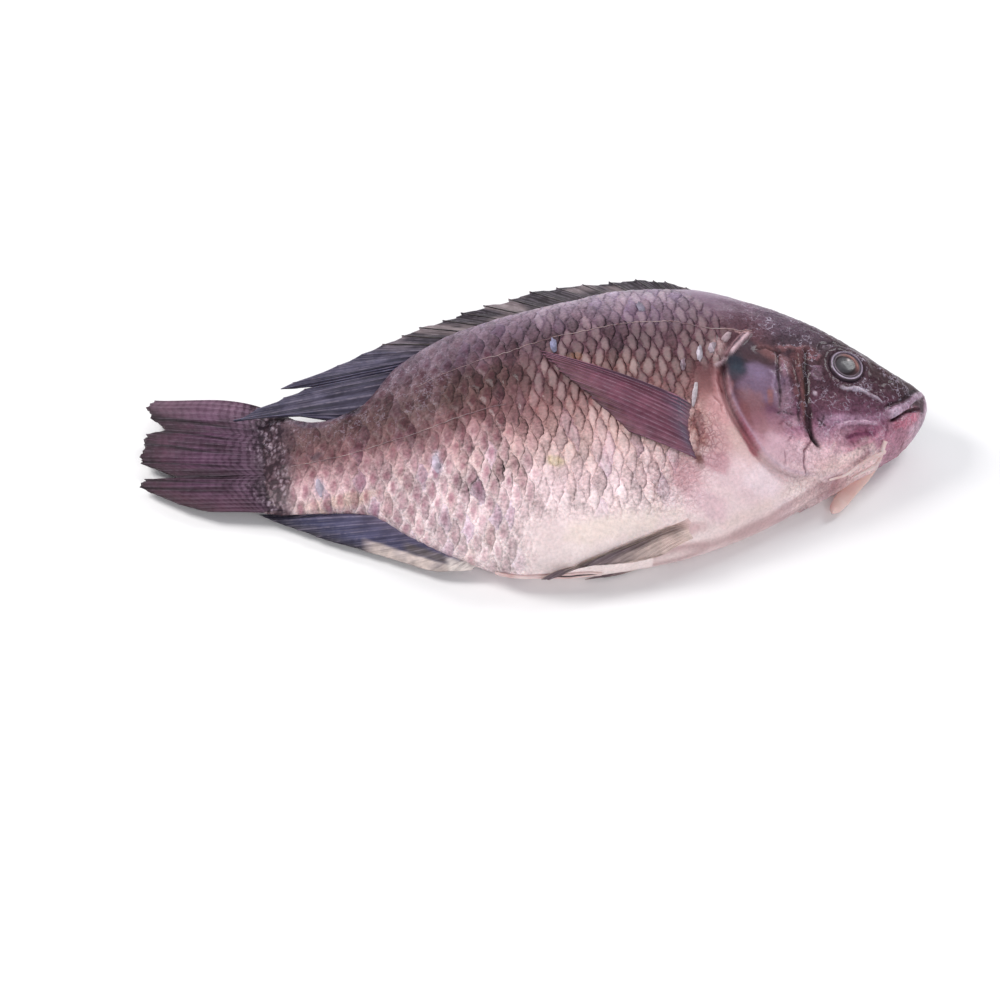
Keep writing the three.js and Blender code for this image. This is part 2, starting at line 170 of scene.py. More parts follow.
def skin_point(x, angle):
    """The smooth body: x along it and an angle round it, 0 at the back and a quarter turn on top."""
    x, angle = np.broadcast_arrays(np.asarray(x, float), np.asarray(angle, float))
    across = np.cos(angle)
    up = np.sign(np.sin(angle)) * np.abs(np.sin(angle)) ** FLATTEN_EDGE
    y = (back_edge(x) + belly_edge(x)) / 2 + (back_edge(x) - belly_edge(x)) / 2 * across
    middle = (back_height(x) + belly_height(x)) / 2
    tilt = (back_height(x) - belly_height(x)) / 2 * across
    z = middle + tilt + half_thickness(x) * up * (1 + BACK_HEAVY * across)
    return np.stack([x, y, z], axis=-1)


def skin_normal(x, angle):
    step = 0.01
    along = skin_point(x + step, angle) - skin_point(x - step, angle)
    around = skin_point(x, angle + step) - skin_point(x, angle - step)
    outward = np.cross(around, along)
    outward /= np.maximum(np.linalg.norm(outward, axis=-1, keepdims=True), 1e-12)
    rough = np.stack([np.zeros_like(angle * x), np.cos(angle) + 0 * x, np.sin(angle) + 0 * x], axis=-1)
    inward = np.sum(outward * rough, axis=-1) < 0
    outward[inward] *= -1
    return outward


def flank_angle(x, y):
    """The angle round the body of the upper flank's point over (x, y)."""
    middle = (back_edge(x) + belly_edge(x)) / 2
    reach = (back_edge(x) - belly_edge(x)) / 2
    return np.arccos(np.clip((y - middle) / reach, -1, 1))


def cover_field(x, y):
    """How far inside the gill cover's edge a point is, and how strongly that edge shows there."""
    dx = x - COVER_X
    dy = y - COVER_Y
    angle = (np.degrees(np.arctan2(dy, dx)) + 360) % 360
    edge = COVER_RADIUS + COVER_DROOP * bump(angle - COVER_DROOP_ANGLE, COVER_DROOP_SPREAD)
    inside = edge - np.hypot(dx, dy)
    shows = smoothstep(angle, 125, 150) * (1 - smoothstep(angle, 290, 315))
    return inside, shows


def path_distance(x, y, path):
    """Distance to a line of straight stretches, and how far along it the nearest point is, 0 to 1."""
    best = np.full(np.shape(x), 1e9)
    along = np.zeros(np.shape(x))
    count = len(path) - 1
    for i, ((ax, ay), (bx, by)) in enumerate(zip(path, path[1:])):
        ux, uy = bx - ax, by - ay
        t = np.clip(((x - ax) * ux + (y - ay) * uy) / (ux * ux + uy * uy), 0, 1)
        distance = np.hypot(x - ax - t * ux, y - ay - t * uy)
        nearer = distance < best
        best = np.where(nearer, distance, best)
        along = np.where(nearer, (i + t) / count, along)
    return best, along


def hashed(*whole):
    """A fixed random number from 0 to 1 for each place of a lattice."""
    mixed = np.zeros(np.shape(whole[0]), np.uint32)
    for number, prime in zip(whole, (374761393, 668265263, 2246822519, 3266489917)):
        mixed = (mixed ^ (np.asarray(number).astype(np.int64).astype(np.uint32) * np.uint32(prime)))
        mixed = (mixed ^ (mixed >> np.uint32(13))) * np.uint32(1274126177)
    mixed = mixed ^ (mixed >> np.uint32(16))
    return mixed.astype(float) / 4294967295.0


def grain(x, y, size, seed):
    """A smooth random field from -1 to 1 whose features have the given size."""
    u, v = x / size, y / size
    i, j = np.floor(u), np.floor(v)
    a, b = u - i, v - j
    a, b = a * a * (3 - 2 * a), b * b * (3 - 2 * b)
    corner = [hashed(i + di, j + dj, np.full(np.shape(i), seed)) for di in (0, 1) for dj in (0, 1)]
    low = lerp(corner[0], corner[1], b)
    high = lerp(corner[2], corner[3], b)
    return lerp(low, high, a) * 2 - 1


def clouded(x, y, size, seed):
    """A random field of three sizes, each turned its own way, so that no edge in it runs straight."""
    total = 0
    for k, (share, part) in enumerate(((0.55, 1.0), (0.3, 0.45), (0.2, 0.2))):
        c, s = math.cos(0.7 + 1.1 * k + seed), math.sin(0.7 + 1.1 * k + seed)
        total = total + share * grain(c * x + s * y, c * y - s * x, size * part, seed + 3 * k)
    return total


class AcrossTable:
    """Length across the flank from the middle row of pockets, by place and angle."""

    def __init__(self):
        self.places = np.arange(TAIL_ROOT_X - 60, SNOUT_X + 4, 2.0)
        self.angles = np.linspace(0, np.pi, 257)
        points = skin_point(self.places[:, None], self.angles[None, :])
        pieces = np.linalg.norm(np.diff(points, axis=1), axis=-1)
        lengths = np.concatenate([np.zeros((len(self.places), 1)), np.cumsum(pieces, axis=1)], axis=1)
        start = flank_angle(self.places, pocket_row(self.places))
        middle = np.array([np.interp(a, self.angles, row) for a, row in zip(start, lengths)])
        self.table = middle[:, None] - lengths

    def __call__(self, x, angle):
        folded = np.where(angle > np.pi, 2 * np.pi - angle, angle)
        u = np.clip((x - self.places[0]) / 2.0, 0, len(self.places) - 1.001)
        v = np.clip(folded / np.pi * 256, 0, 255.999)
        i, j = u.astype(int), v.astype(int)
        a, b = u - i, v - j
        low = lerp(self.table[i, j], self.table[i, j + 1], b)
        high = lerp(self.table[i + 1, j], self.table[i + 1, j + 1], b)
        return lerp(low, high, a)


across_length = AcrossTable()


def pocket_lattice(x, angle, pitch, height):
    """Lattice coordinates of the scale pockets, gently warped so that no two pockets are alike."""
    s = across_length(x, angle)
    p = x / (pitch / 2) + 0.36 * clouded(x, s, 12, 3) + 0.22 * clouded(x, s, 5, 4)
    q = s / (height / 2) + 0.18 * clouded(x, s, 13, 5) + 0.13 * clouded(x, s, 5, 6)
    return p, q


def pocket_cell(p, q):
    """The pocket that a point lies in: its centre, the gaps to its two edges and the place across it."""
    j = np.floor(q)
    a = q - j
    odd = np.mod(j, 2)
    fx = np.mod(p - odd, 2)
    first = 1 - a * a
    second = 2 - (1 - a) ** 2
    in_row = (fx < first) | (fx >= second)
    dx = np.where(in_row, np.where(fx < first, fx, fx - 2), fx - 1)
    dy = np.where(in_row, a, a - 1)
    head_gap = (1 - dy * dy) - dx
    tail_gap = dx + (1 - np.abs(dy)) ** 2
    return np.round(p - dx), np.round(q - dy), head_gap, tail_gap, np.abs(dy)


# ---------------------------------------------------------------- where things are on the flank
BREAST_CREASE = [(40, -57), (62, -52.4), (68, -50.6), (78, -46.6), (84.5, -44), (90.6, -41), (97.5, -37.5),
                 (112.5, -29.8), (126, -22.5)]
# near-black: painted shade in creases, and a few dark lines of the skin
INK = (44, 28, 34)
# reddish dark: painted shade in the creases of the lower gill cover
CREASE_SHADE_RED = (112, 66, 78)
# partly the skin's own silvery grey and partly a painted highlight on raised wrinkles
SILVER_AND_HIGHLIGHT = (206, 190, 206)
LIP = (188, 164, 184)
# Folds and creases of the skin: path, rise (below zero for a crease), half width, tint and strength.
# The dark tints laid along creases, the folds whose rise is below zero, are painted shade in them.
FOLDS = [
    # the gill cover
    ([(94.4, 12), (94.1, 8.2), (93.2, 3.3), (93, -2.3), (92.8, -6.8), (92, -11.1)], -0.6, 0.7, INK, 0.8),
    ([(99.7, 8), (99.7, 1.2), (100.1, -2.5), (100.3, -7), (98.9, -11.2), (98.2, -16.9)], -0.5, 0.6, INK, 0.7),
    ([(86, 12.5), (90, 13.8), (94.4, 11), (97, 12)], -0.5, 0.7, INK, 0.6),
    ([(90.7, -13.2), (92.5, -12.4), (97.2, -14.1)], -0.4, 0.5, INK, 0.6),
    ([(91, -17.2), (92.9, -16.1), (96.6, -19.3)], -0.35, 0.5, CREASE_SHADE_RED, 0.7),
    ([(90, 4), (91.6, 1), (90.2, -3), (91.2, -8)], 0.3, 0.6, (164, 142, 168), 0.4),
    ([(95.4, 7), (96.2, 1), (96.0, -5), (95.2, -11)], 0.4, 0.9, (140, 110, 130), 0.5),
    ([(89.3, -4), (88.5, -9.3)], 0.0, 1.3, (156, 98, 84), 0.5),
    ([(91.4, -30.5), (91.8, -26.2)], -0.2, 0.4, CREASE_SHADE_RED, 0.5),
    ([(93, -23.2), (95.9, -20.8)], -0.2, 0.4, CREASE_SHADE_RED, 0.5),
    ([(102.8, -19.5), (102.5, -22.4), (99.5, -25.4), (98.7, -29.2), (99.4, -32.5)], -0.5, 0.5, CREASE_SHADE_RED, 0.8),
    ([(103.8, -11.2), (102.9, -18.3), (103.4, -22), (105.5, -24.3)], -0.8, 0.8, INK, 0.8),
    ([(101.6, 9), (101.9, 0), (101.6, -8), (100.6, -15)], 0.5, 0.9, (112, 76, 72), 0.5),
    ([(94.6, 14), (97, 12.2), (99.2, 13.6), (101.4, 11.4), (104, 13)], 0.8, 1.2, (150, 104, 108), 0.5),
    # behind the gill cover
    ([(75.9, 10.8), (79.6, 14.8), (85, 20.7)], 1.1, 1.1, (206, 176, 184), 0.8),
    ([(74.4, 12.2), (77.6, 16.4), (82, 20.6)], 0.7, 0.7, (176, 138, 146), 0.7),
    ([(69.6, 6.7), (72.5, 8.5), (74.6, 10.9)], 0.9, 0.9, (198, 170, 180), 0.7),
    ([(74.7, 23.6), (79.1, 23), (82, 21.4), (85.5, 21)], 0.3, 0.5, (204, 164, 164), 0.6),
    ([(71, 5), (70.2, 0), (71.4, -4)], -0.4, 0.7, (120, 66, 70), 0.6),
    ([(67.5, -6), (70, -9), (69.5, -12)], -0.4, 0.6, (140, 84, 86), 0.5),
    # the face
    ([(110.4, 12), (112.2, 15.4), (117, 17.4), (124, 16.2)], -0.4, 0.8, INK, 0.5),
    ([(116, -3.4), (119, -4.4), (121.6, -3.2), (124.4, -4.0), (127.6, -5.2)], 0.5, 0.55, SILVER_AND_HIGHLIGHT, 0.75),
    ([(128.4, -5.6), (130.6, -6.4), (132.4, -7.8)], 0.45, 0.5, SILVER_AND_HIGHLIGHT, 0.6),
    ([(110, 4.4), (107.4, 4.6), (106, 2.2), (107, -0.6), (109.4, -0.8)], 0.4, 0.6, (140, 112, 132), 0.5),
    ([(106.2, 9.4), (109, 7.6), (110.4, 10)], 0.5, 0.7, (156, 108, 118), 0.5),
    ([(105.4, -14.6), (107.2, -16.4), (106.2, -18.2)], 0.0, 0.45, INK, 0.8),
    ([(108.8, -13.8), (107.2, -16.4), (109.0, -17.4)], 0.0, 0.45, INK, 0.8),
    ([(113, -17.4), (118, -15.8), (124, -15.0), (131, -14.4)], 0.5, 0.7, (196, 160, 182), 0.7),
    ([(115, -24.2), (121, -21.8), (127, -19.4), (132, -16.4)], 0.4, 0.6, (200, 140, 160), 0.6),
    ([(116, -20.4), (121, -18.8), (128, -17.6)], -0.4, 0.7, (104, 50, 78), 0.7),
    ([(112, -22), (109.6, -24.6), (111.6, -27.4)], 0.4, 0.8, (222, 188, 190), 0.6),
    ([(132, -13.6), (133.6, -15.4), (133, -17.6)], -0.3, 0.5, (120, 66, 92), 0.6),
    # the mouth
    ([(134.8, -11.0), (136.6, -10.4), (139.4, -8.6)], 1.6, 1.7, LIP, 0.95),
    ([(138.4, -9.2), (142, -6.6), (145, -3.4), (147.6, -0.6)], 1.1, 1.1, (166, 138, 158), 0.85),
    ([(146.6, -1.6), (149.4, 1.0), (151.8, 3.4)], 0.9, 1.3, (182, 158, 176), 0.7),
    ([(133.0, -9.2), (138.4, -6.6), (142.4, -3.8), (146, 0.2), (149.4, 4.0)], -0.5, 0.7, (40, 24, 32), 0.8),
    ([(136.6, -14.1), (140.7, -11.9), (144.3, -9.2), (147.6, -6.3)], 1.0, 1.2, (184, 112, 132), 0.8),
    ([(153, 3.9), (153.4, 0.4), (152.7, -2.6), (148.5, -7.9), (143.5, -13.1)], 0.5, 1.2, (206, 176, 194), 0.6),
    ([(135.4, -13.0), (139.1, -10.7), (142.6, -8.2), (145.3, -6.3), (149.2, -3.6)], -1.4, 0.55, (54, 26, 36), 0.9),
    ([(131.1, -22.3), (133.4, -22.2), (137.9, -19), (143.7, -13.6), (149.5, -8.6)], 0.5, 0.9, (202, 150, 166), 0.6),
    ([(136.8, -18.8), (139.8, -17.2), (141.9, -14.7)], -0.5, 0.45, (84, 40, 54), 0.7),
    # strips of skin under the jaw
    ([(113.2, -29.4), (119.4, -26.7), (124.9, -24.1), (131.3, -20.5)], 0.8, 0.8, (232, 206, 206), 0.8),
    ([(118.7, -27.4), (124.9, -24.8), (127.7, -23.3)], 0.6, 0.6, (226, 190, 190), 0.7),
    ([(124.1, -29.1), (126.6, -26), (129.6, -22.5), (131.2, -20.7)], 0.8, 0.7, (236, 212, 208), 0.8),
    ([(110, -31.6), (116, -28.6), (122, -26.8)], -0.4, 0.5, (180, 124, 128), 0.6),
    # the muscle at the breast fin
    ([(61.6, -11.4), (58.4, -16), (57.6, -21.6), (58.0, -27.4), (59.6, -31.6)], 0.9, 1.5, (118, 70, 66), 0.75),
    ([(64, -12.4), (66.6, -17), (67.4, -22), (66, -28)], 0.4, 1.0, (216, 172, 174), 0.5),
]


def scaled_share(x, y):
    """Where scale pockets show: on the trunk, not on the head, the breast or the lower belly."""
    inside, shows = cover_field(x, y)
    trunk = 1 - smoothstep(inside * shows, -5, -1)
    trunk = trunk * (1 - smoothstep(x - 14 * smoothstep(y, 24, 34), 84, 92))
    belly = 1 - smoothstep(-y, 40, 50) * smoothstep(x, -18, 0)
    breast = 1 - smoothstep(x - 0.35 * (y + 30), 44, 56) * smoothstep(-y, 20, 30)
    shoulder = 1 - smoothstep(x, 58, 64) * between(y, -34, 8, 5)
    tail = smoothstep(x, -97, -92)
    return trunk * belly * breast * shoulder * tail


def large_relief(x, y):
    """How far the gill cover, the cheek groove and the eye's rim stand out of the smooth body."""
    inside, shows = cover_field(x, y)
    rise = np.where(inside > 0, shows * 1.5 * bump(inside, 10), -shows * 1.9 * bump(inside + 1, 1.8))
    off = x - cheek_groove(y)
    on_cheek = between(y, -25, 13, 1.5)
    rise = rise + on_cheek * (0.9 * bump(off + 4, 2.4) - 1.3 * bump(off, 1.3))
    from_eye = np.hypot(x - EYE_X, y - EYE_Y)
    rise = rise + 0.7 * bump(from_eye - EYE_RIM, 1.7) - 1.4 * (1 - smoothstep(from_eye, 5.0, 7.6))
    return rise


def fine_relief(x, y, angle, body):
    """Scale pockets, wrinkles, creases and the mouth slit."""
    p, q = pocket_lattice(x, angle, body.pocket_pitch, body.pocket_height)
    i, j, head_gap, tail_gap, aside = pocket_cell(p, q)
    share = np.clip(tail_gap, 0, 9) / np.maximum(head_gap + tail_gap, 1e-3)
    plate = share ** 1.2 * smoothstep(head_gap, 0, 0.2) * (1 - 0.7 * smoothstep(aside, 0.35, 0.9))
    pillow = smoothstep(head_gap, 0, 0.45) * smoothstep(tail_gap, 0, 0.6)
    own = 0.3 + 1.1 * hashed(i, j, np.full(np.shape(i), 11))
    high = body.pocket_relief * scaled_share(x, y) * lerp(0.55, 1.0, smoothstep(x, -44, -4))
    rise = high * (own * (0.5 * plate + 0.5 * pillow) - 0.35)
    rise = rise + (1 - smoothstep(x, -97, -93)) * 0.5 * clouded(x, y, 4, 26)

    head = smoothstep(x, 92, 100)
    rise = rise + head * (0.22 * clouded(x, y, 3.6, 21) + 0.10 * grain(x, y, 1.5, 22))
    rise = rise + (1 - head) * (0.30 * grain(x, y, 13, 23) + 0.10 * grain(x, y, 3, 24))
    nape = smoothstep(x, 74, 92) * smoothstep(y, 14, 24)
    rise = rise + nape * 0.4 * np.abs(clouded(x + 0.5 * y, 0.5 * x - y, 3.4, 25))

    for path, height, width, _, _ in FOLDS:
        rise = rise + height * fold_share(x, y, path, width)
    distance, _ = path_distance(x, y, BREAST_CREASE)
    rise = rise - 0.5 * bump(distance, 1.0) + 0.4 * bump(distance - 2.4, 1.6)
    face = smoothstep(x, 104, 109) * (1 - smoothstep(x, 130, 142)) * between(y, -22, 2, 3)
    rise = rise + face * 0.8 * (np.abs(clouded(x + 0.6 * y, y - 0.4 * x, 3.0, 32)) - 0.3)

    # The muscle at the root of the breast fin, in fleshy folds.
    root = bump(np.hypot((x - 61.0) / 6.2, (y + 21.5) / 10.5), 1.0)
    folds = np.abs(clouded(x, y, 3.4, 31))
    rise = rise + root * (2.4 + 2.2 * folds)
    return rise


def fold_share(x, y, path, width):
    """How much of a fold stands at a point: uneven in width, and fading towards its two ends."""
    distance, along = path_distance(x, y, path)
    half = width * (0.9 + 0.4 * clouded(x, y, 2.4, 33))
    ends = smoothstep(along, -0.06, 0.1) * (1 - smoothstep(along, 0.88, 1.08))
    return band(distance, half) * ends


def flank_point(x, y, body, lift=0.0):
    """A point of the finished upper flank over (x, y), raised by lift along the flank's normal."""
    angle = flank_angle(x, y)
    point = skin_point(x, angle)
    relief = large_relief(x, y) + fine_relief(x, y, angle, body)
    rise = relief * np.abs(np.sin(angle)) ** 0.5 + lift
    return point + skin_normal(x, angle) * rise[..., None]


def placed(points):
    """Fish coordinates in millimetres as model coordinates in metres."""
    moved = np.array(points, float)
    moved[..., 0] -= CENTRE[0]
    moved[..., 1] -= CENTRE[1]
    return moved * MM


# ---------------------------------------------------------------- the colours of the skin
# Stops from the back down to the belly: place across the fish and colour.
# The lightest, lavender-grey stops along the back in these lists are partly the back's own grey and partly painted
# sheen, the reflection of a bright room off the wet skin.
REAR_TONES = [
    (-50, (232, 212, 214)), (-34, (230, 208, 211)), (-22, (220, 196, 198)), (-15, (202, 170, 174)),
    (-9, (166, 130, 134)), (-4, (132, 97, 100)), (6, (106, 81, 82)), (18, (104, 82, 87)),
    (30, (116, 98, 110)), (46, (132, 116, 131)),
]
FRONT_TONES = [
    (-58, (248, 230, 228)), (-48, (244, 222, 222)), (-36, (230, 202, 206)), (-22, (208, 174, 171)),
    (-12, (182, 142, 140)), (-4, (144, 100, 101)), (4, (110, 73, 76)), (16, (97, 65, 72)),
    (28, (95, 69, 80)), (38, (120, 98, 114)), (46, (148, 130, 147)), (58, (166, 150, 166)),
]
HEAD_TONES = [
    (-36, (246, 226, 226)), (-30, (230, 200, 206)), (-24, (204, 160, 173)), (-18, (156, 110, 132)),
    (-13, (110, 72, 92)), (-6, (84, 56, 69)), (8, (72, 52, 58)), (18, (76, 60, 70)), (28, (98, 79, 94)),
    (42, (124, 107, 124)),
]


def linear(colour):
    """A screen colour from 0 to 255 as linear light."""
    screen = np.asarray(colour, float) / 255
    return np.where(screen <= 0.04045, screen / 12.92, ((screen + 0.055) / 1.055) ** 2.4)


def tone_ramp(y, stops):
    places = [stop[0] for stop in stops]
    tones = np.array([linear(stop[1]) for stop in stops])
    return np.stack([np.interp(y, places, tones[:, k]) for k in range(3)], axis=-1)


def paint(colour, tint, amount):
    """Lays a tint over the colours, in place."""
    colour += (linear(tint) - colour) * np.clip(amount, 0, 1)[..., None]


def patch(x, y, centre, size, turn=0.0, ragged=0.35, seed=1):
    """An uneven soft oval: 1 inside it and 0 outside."""
    c, s = math.cos(math.radians(turn)), math.sin(math.radians(turn))
    dx, dy = x - centre[0], y - centre[1]
    u, v = (dx * c + dy * s) / size[0], (dy * c - dx * s) / size[1]
    reach = np.hypot(u, v) + 1.5 * ragged * clouded(x, y, 0.9 * min(size) + 1.5, seed)
    return 1 - smoothstep(reach, 0.45, 1.25)


# Single marks of the skin: centre, size, turn, colour and strength.
MARKS = [
    # the gill cover
    # lavender: partly the cover's own mauve and partly painted sheen
    ((86.5, -2), (8.5, 8.5), 20, (128, 104, 128), 0.8),
    ((77.5, 6.5), (5.0, 6.0), 30, (46, 50, 62), 0.95),
    ((76.5, 3.5), (4.4, 3.4), 10, (60, 70, 82), 0.5),
    # lavender: partly the cover's own mauve and partly painted sheen
    ((85, 2.5), (5.6, 4.6), -30, (132, 112, 140), 0.7),
    ((91, 11), (5.0, 3.6), -20, (142, 98, 98), 0.5),
    ((96, 6), (2.2, 4.5), 5, (150, 112, 118), 0.5),
    ((82, -12), (5.4, 10.0), 15, (144, 100, 102), 0.6),
    ((78.5, -14), (2.2, 7.0), 15, (120, 70, 72), 0.5),
    ((88, -18), (5.5, 4.0), 30, (160, 120, 126), 0.5),
    ((94, -9), (4.2, 7.0), 0, (140, 112, 126), 0.7),
    ((96, -17), (4.0, 2.6), 10, (170, 140, 152), 0.6),
    ((103, -28), (10, 5.5), 8, (226, 192, 198), 0.7),
    ((92, -26), (7.5, 5.5), -30, (214, 178, 190), 0.75),
    # behind the gill cover
    ((78.6, -21.5), (2.2, 8.0), 24, (176, 84, 102), 0.7),
    ((71.0, -1), (3.6, 8.0), 6, (186, 132, 136), 0.7),
    ((70.5, -12), (5.0, 7.0), 20, (208, 158, 162), 0.7),
    ((72, 15), (4.5, 4.0), 40, (196, 158, 160), 0.35),
    # the face
    ((100.2, -3), (2.2, 16.0), 3, (104, 68, 72), 0.75),
    # dark strip along the cheek groove: painted shade in it
    ((103.2, -4), (1.3, 14.0), 2, (62, 48, 46), 0.7),
    ((110, -16), (5.5, 3.8), 0, (140, 108, 128), 0.6),
    ((106, -20), (3.2, 3.0), 0, (166, 134, 152), 0.6),
    ((122.5, -19.4), (9.5, 3.2), 17, (140, 80, 106), 0.9),
    ((117, -14.5), (11, 1.6), 4, (176, 142, 166), 0.6),
    ((131, -12.2), (7.5, 1.6), 14, (168, 128, 152), 0.55),
    ((139, -14.5), (11, 3.6), 34, (182, 130, 148), 0.7),
    ((112, -9), (7.0, 3.6), 15, (98, 66, 78), 0.6),
    ((124, 1), (6.0, 2.2), -25, (92, 70, 80), 0.5),
    ((114, -26.5), (12, 2.4), 17, (226, 190, 192), 0.8),
    ((146, -7.6), (6, 2.8), 40, (184, 130, 146), 0.65),
    # pale lines under the eye: partly the skin's own silvery grey and partly a painted highlight
    ((123, -4), (5.0, 0.8), 0, (196, 182, 202), 0.7),
    ((129, -6.2), (3.5, 0.7), -25, (168, 146, 166), 0.55),
    ((133, 5), (9, 7), -10, (70, 50, 54), 0.7),
    ((142, 2), (8, 6), -30, (60, 42, 48), 0.8),
    ((108.2, 2.0), (2.2, 3.6), 0, (124, 98, 112), 0.6),
    # a painted glint
    ((106, -6), (1.0, 0.9), 0, (206, 186, 200), 0.8),
    ((104, 10), (4.5, 3.5), 20, (126, 82, 86), 0.55),
    ((117, 23), (11, 5), -40, (74, 54, 58), 0.6),
    ((128, 16), (7, 4), -45, (84, 66, 72), 0.5),
    # the breast and the belly
    ((72, -34), (12, 7), -25, (236, 208, 214), 0.6),
    ((84, -36), (12, 4.5), -22, (242, 222, 228), 0.7),
    ((52, -34), (9, 6), -20, (200, 152, 160), 0.7),
    ((60, -44), (9, 4.5), -15, (222, 186, 196), 0.6),
    ((60, -21), (4.5, 8.0), 20, (150, 98, 96), 0.75),
    ((67, -22), (5.0, 7.0), 20, (208, 164, 168), 0.7),
    ((66, -30), (5.5, 3.5), 0, (196, 140, 152), 0.6),
    ((25, -50), (24, 4.5), 5, (242, 224, 216), 0.8),
    ((52, -51), (8, 1.6), 12, (196, 152, 156), 0.6),
    ((6, -26.5), (3.8, 2.2), -20, (222, 200, 158), 0.7),
    ((17, 16), (3.4, 2.2), 0, (146, 98, 70), 0.6),
    # the tail root
    ((-38, -17.5), (2.4, 5.0), 10, (222, 208, 222), 0.7),
    ((-82.5, -15), (2.4, 5.0), 10, (218, 202, 216), 0.7),
    ((-83, -2), (2.4, 2.6), 0, (66, 52, 62), 0.8),
    ((-75, -21), (16, 2.6), -2, (214, 184, 172), 0.7),
    ((-72, 16.5), (9, 2.2), 0, (104, 96, 112), 0.6),
    ((-86, 16), (8, 3.0), -20, (96, 86, 102), 0.6),
    ((-68, 18.5), (5, 2.5), 10, (30, 32, 34), 0.8),
    # dark and brown places along the flank
    ((-62, 10), (18, 6), 2, (84, 66, 66), 0.45),
    ((-20, 12), (20, 8), 5, (92, 70, 64), 0.35),
    ((40, 22), (16, 5), 0, (86, 64, 72), 0.4),
    ((30, 9), (16, 6), 0, (118, 82, 74), 0.3),
    ((55, 30), (12, 4), 0, (110, 92, 106), 0.3),
]


def skin_colour(x, y):
    """The colour of the skin before the pockets, the wrinkles and the wet mottling go over it."""
    wander = 1.6 * grain(x, y, 17, 41) + 1.0 * grain(x, y, 6, 42)
    rear = tone_ramp(y + wander, REAR_TONES)
    front = tone_ramp(y + wander, FRONT_TONES)
    head = tone_ramp(y + wander, HEAD_TONES)
    colour = lerp(rear, front, smoothstep(x, -46, 24)[..., None])
    inside, shows = cover_field(x, y)
    on_head = np.maximum(smoothstep(inside, -0.8, 0.4) * smoothstep(shows, 0.2, 0.7), smoothstep(x, 84, 98))
    colour = lerp(colour, head, on_head[..., None])
    # the scaly root of the tail fin
    root = 1 - smoothstep(x + 3 * clouded(x, y, 6, 43), -97, -90)
    paint(colour, (82, 64, 74), 0.85 * root)
    for k, (centre, size, turn, tint, strength) in enumerate(MARKS):
        paint(colour, tint, strength * patch(x, y, centre, size, turn, seed=50 + k))
    # Painted shade in the cheek groove, painted shadow in the gap behind the gill cover's edge with a pale rim on the
    # cover, the folds' tints, and painted shade in the eye's socket
    # painted shade along the cheek groove
    groove = bump(x - cheek_groove(y), 0.9) * between(y, -24, 13, 1.5)
    paint(colour, (40, 28, 30), 0.85 * groove)
    # painted shadow along the gap behind the gill cover's edge
    cover_shadow = lerp(0.8, 0.3, smoothstep(-y, 16, 30))
    paint(colour, (58, 36, 46), cover_shadow * shows * bump(inside + 0.5, 0.7))
    paint(colour, (176, 150, 170), 0.45 * shows * bump(inside - 0.9, 0.6) * smoothstep(-y, -8, 12))
    # painted shade along the breast crease, and beside it a pale band on the ridge
    distance, _ = path_distance(x, y, BREAST_CREASE)
    paint(colour, (166, 122, 126), 0.65 * bump(distance, 0.6))
    paint(colour, (238, 214, 208), 0.5 * bump(distance - 2.2, 1.4) * smoothstep(x, 58, 70))
    uneven = 1 + 0.3 * grain(x, y, 1.6, 47)
    for path, _, width, tint, strength in FOLDS:
        paint(colour, tint, strength * uneven * fold_share(x, y, path, width))
    # painted shade in the eye's socket
    from_eye = np.hypot(x - EYE_X, y - EYE_Y)
    paint(colour, (74, 56, 66), 0.5 * (1 - smoothstep(from_eye, 7.0, 9.5)))
    return colour


def marking_share(x, y):
    """How strongly the mauve spot, the pale middle and the dark line of a pocket show."""
    scaled = scaled_share(x, y)
    rear = 1 - smoothstep(x + 4 * grain(x, y, 9, 44), -14, 12)
    back = smoothstep(y, 26, 42)
    spots = scaled * (0.2 + 0.8 * rear) * (1 - 0.7 * back) * (1 - 0.3 * smoothstep(-y, 30, 46))
    pale = scaled * (0.15 + 0.85 * (1 - rear)) * (1 - 0.6 * smoothstep(y, 8, 26))
    lines = scaled * lerp(0.16, 1.0, smoothstep(x, -44, -4)) * (1 - 0.75 * back)
    lines = lines * (1 - 0.6 * smoothstep(-y, 24, 42)) * (0.65 + 0.5 * grain(x, y, 14, 45))
    return spots, pale, np.clip(lines, 0, 1)


def finish_share(x, y):
    """How wrinkled, how speckled and how wet the skin is."""
    root = bump(np.hypot((x - 63) / 6.5, (y + 21) / 11), 1.0)
    nape = smoothstep(x, 70, 88) * smoothstep(y, 10, 24)
    breast = between(x, 26, 58, 8) * between(y, -46, -24, 6) * smoothstep(0.3 * y + x, 20, 30)
    throat = smoothstep(x, 84, 96) * smoothstep(-y, 22, 30)
    wrinkled = np.clip(root + 0.35 * nape + 0.5 * breast + 0.4 * throat, 0, 1)
    head = smoothstep(x, 88, 100)
    speckled = head * (0.7 + 0.3 * smoothstep(y, -14, 4)) * (1 - 0.6 * throat) + 0.4 * breast + 0.6 * nape
    speckled = speckled + 0.45 * (1 - smoothstep(x, -44, -14)) * smoothstep(y, -6, 10)
    wet = 0.25 + 0.75 * np.maximum(smoothstep(x, 60, 80), between(x, -20, 40, 12) * between(y, -12, 10, 8))
    return wrinkled, np.clip(speckled, 0, 1), wet


# ---------------------------------------------------------------- helpers for meshes
def grid_faces(rows, columns, wrap=False, start=0, flip=False):
    """Four-sided faces between the rows of a grid of points."""
    r = np.arange(rows - 1)[:, None]
    c = np.arange(columns if wrap else columns - 1)[None, :]
    following = (c + 1) % columns
    corners = [r * columns + c, r * columns + following, (r + 1) * columns + following, (r + 1) * columns + c]
    faces = np.stack([corner.ravel() for corner in corners], axis=1) + start
    return faces[:, ::-1] if flip else faces


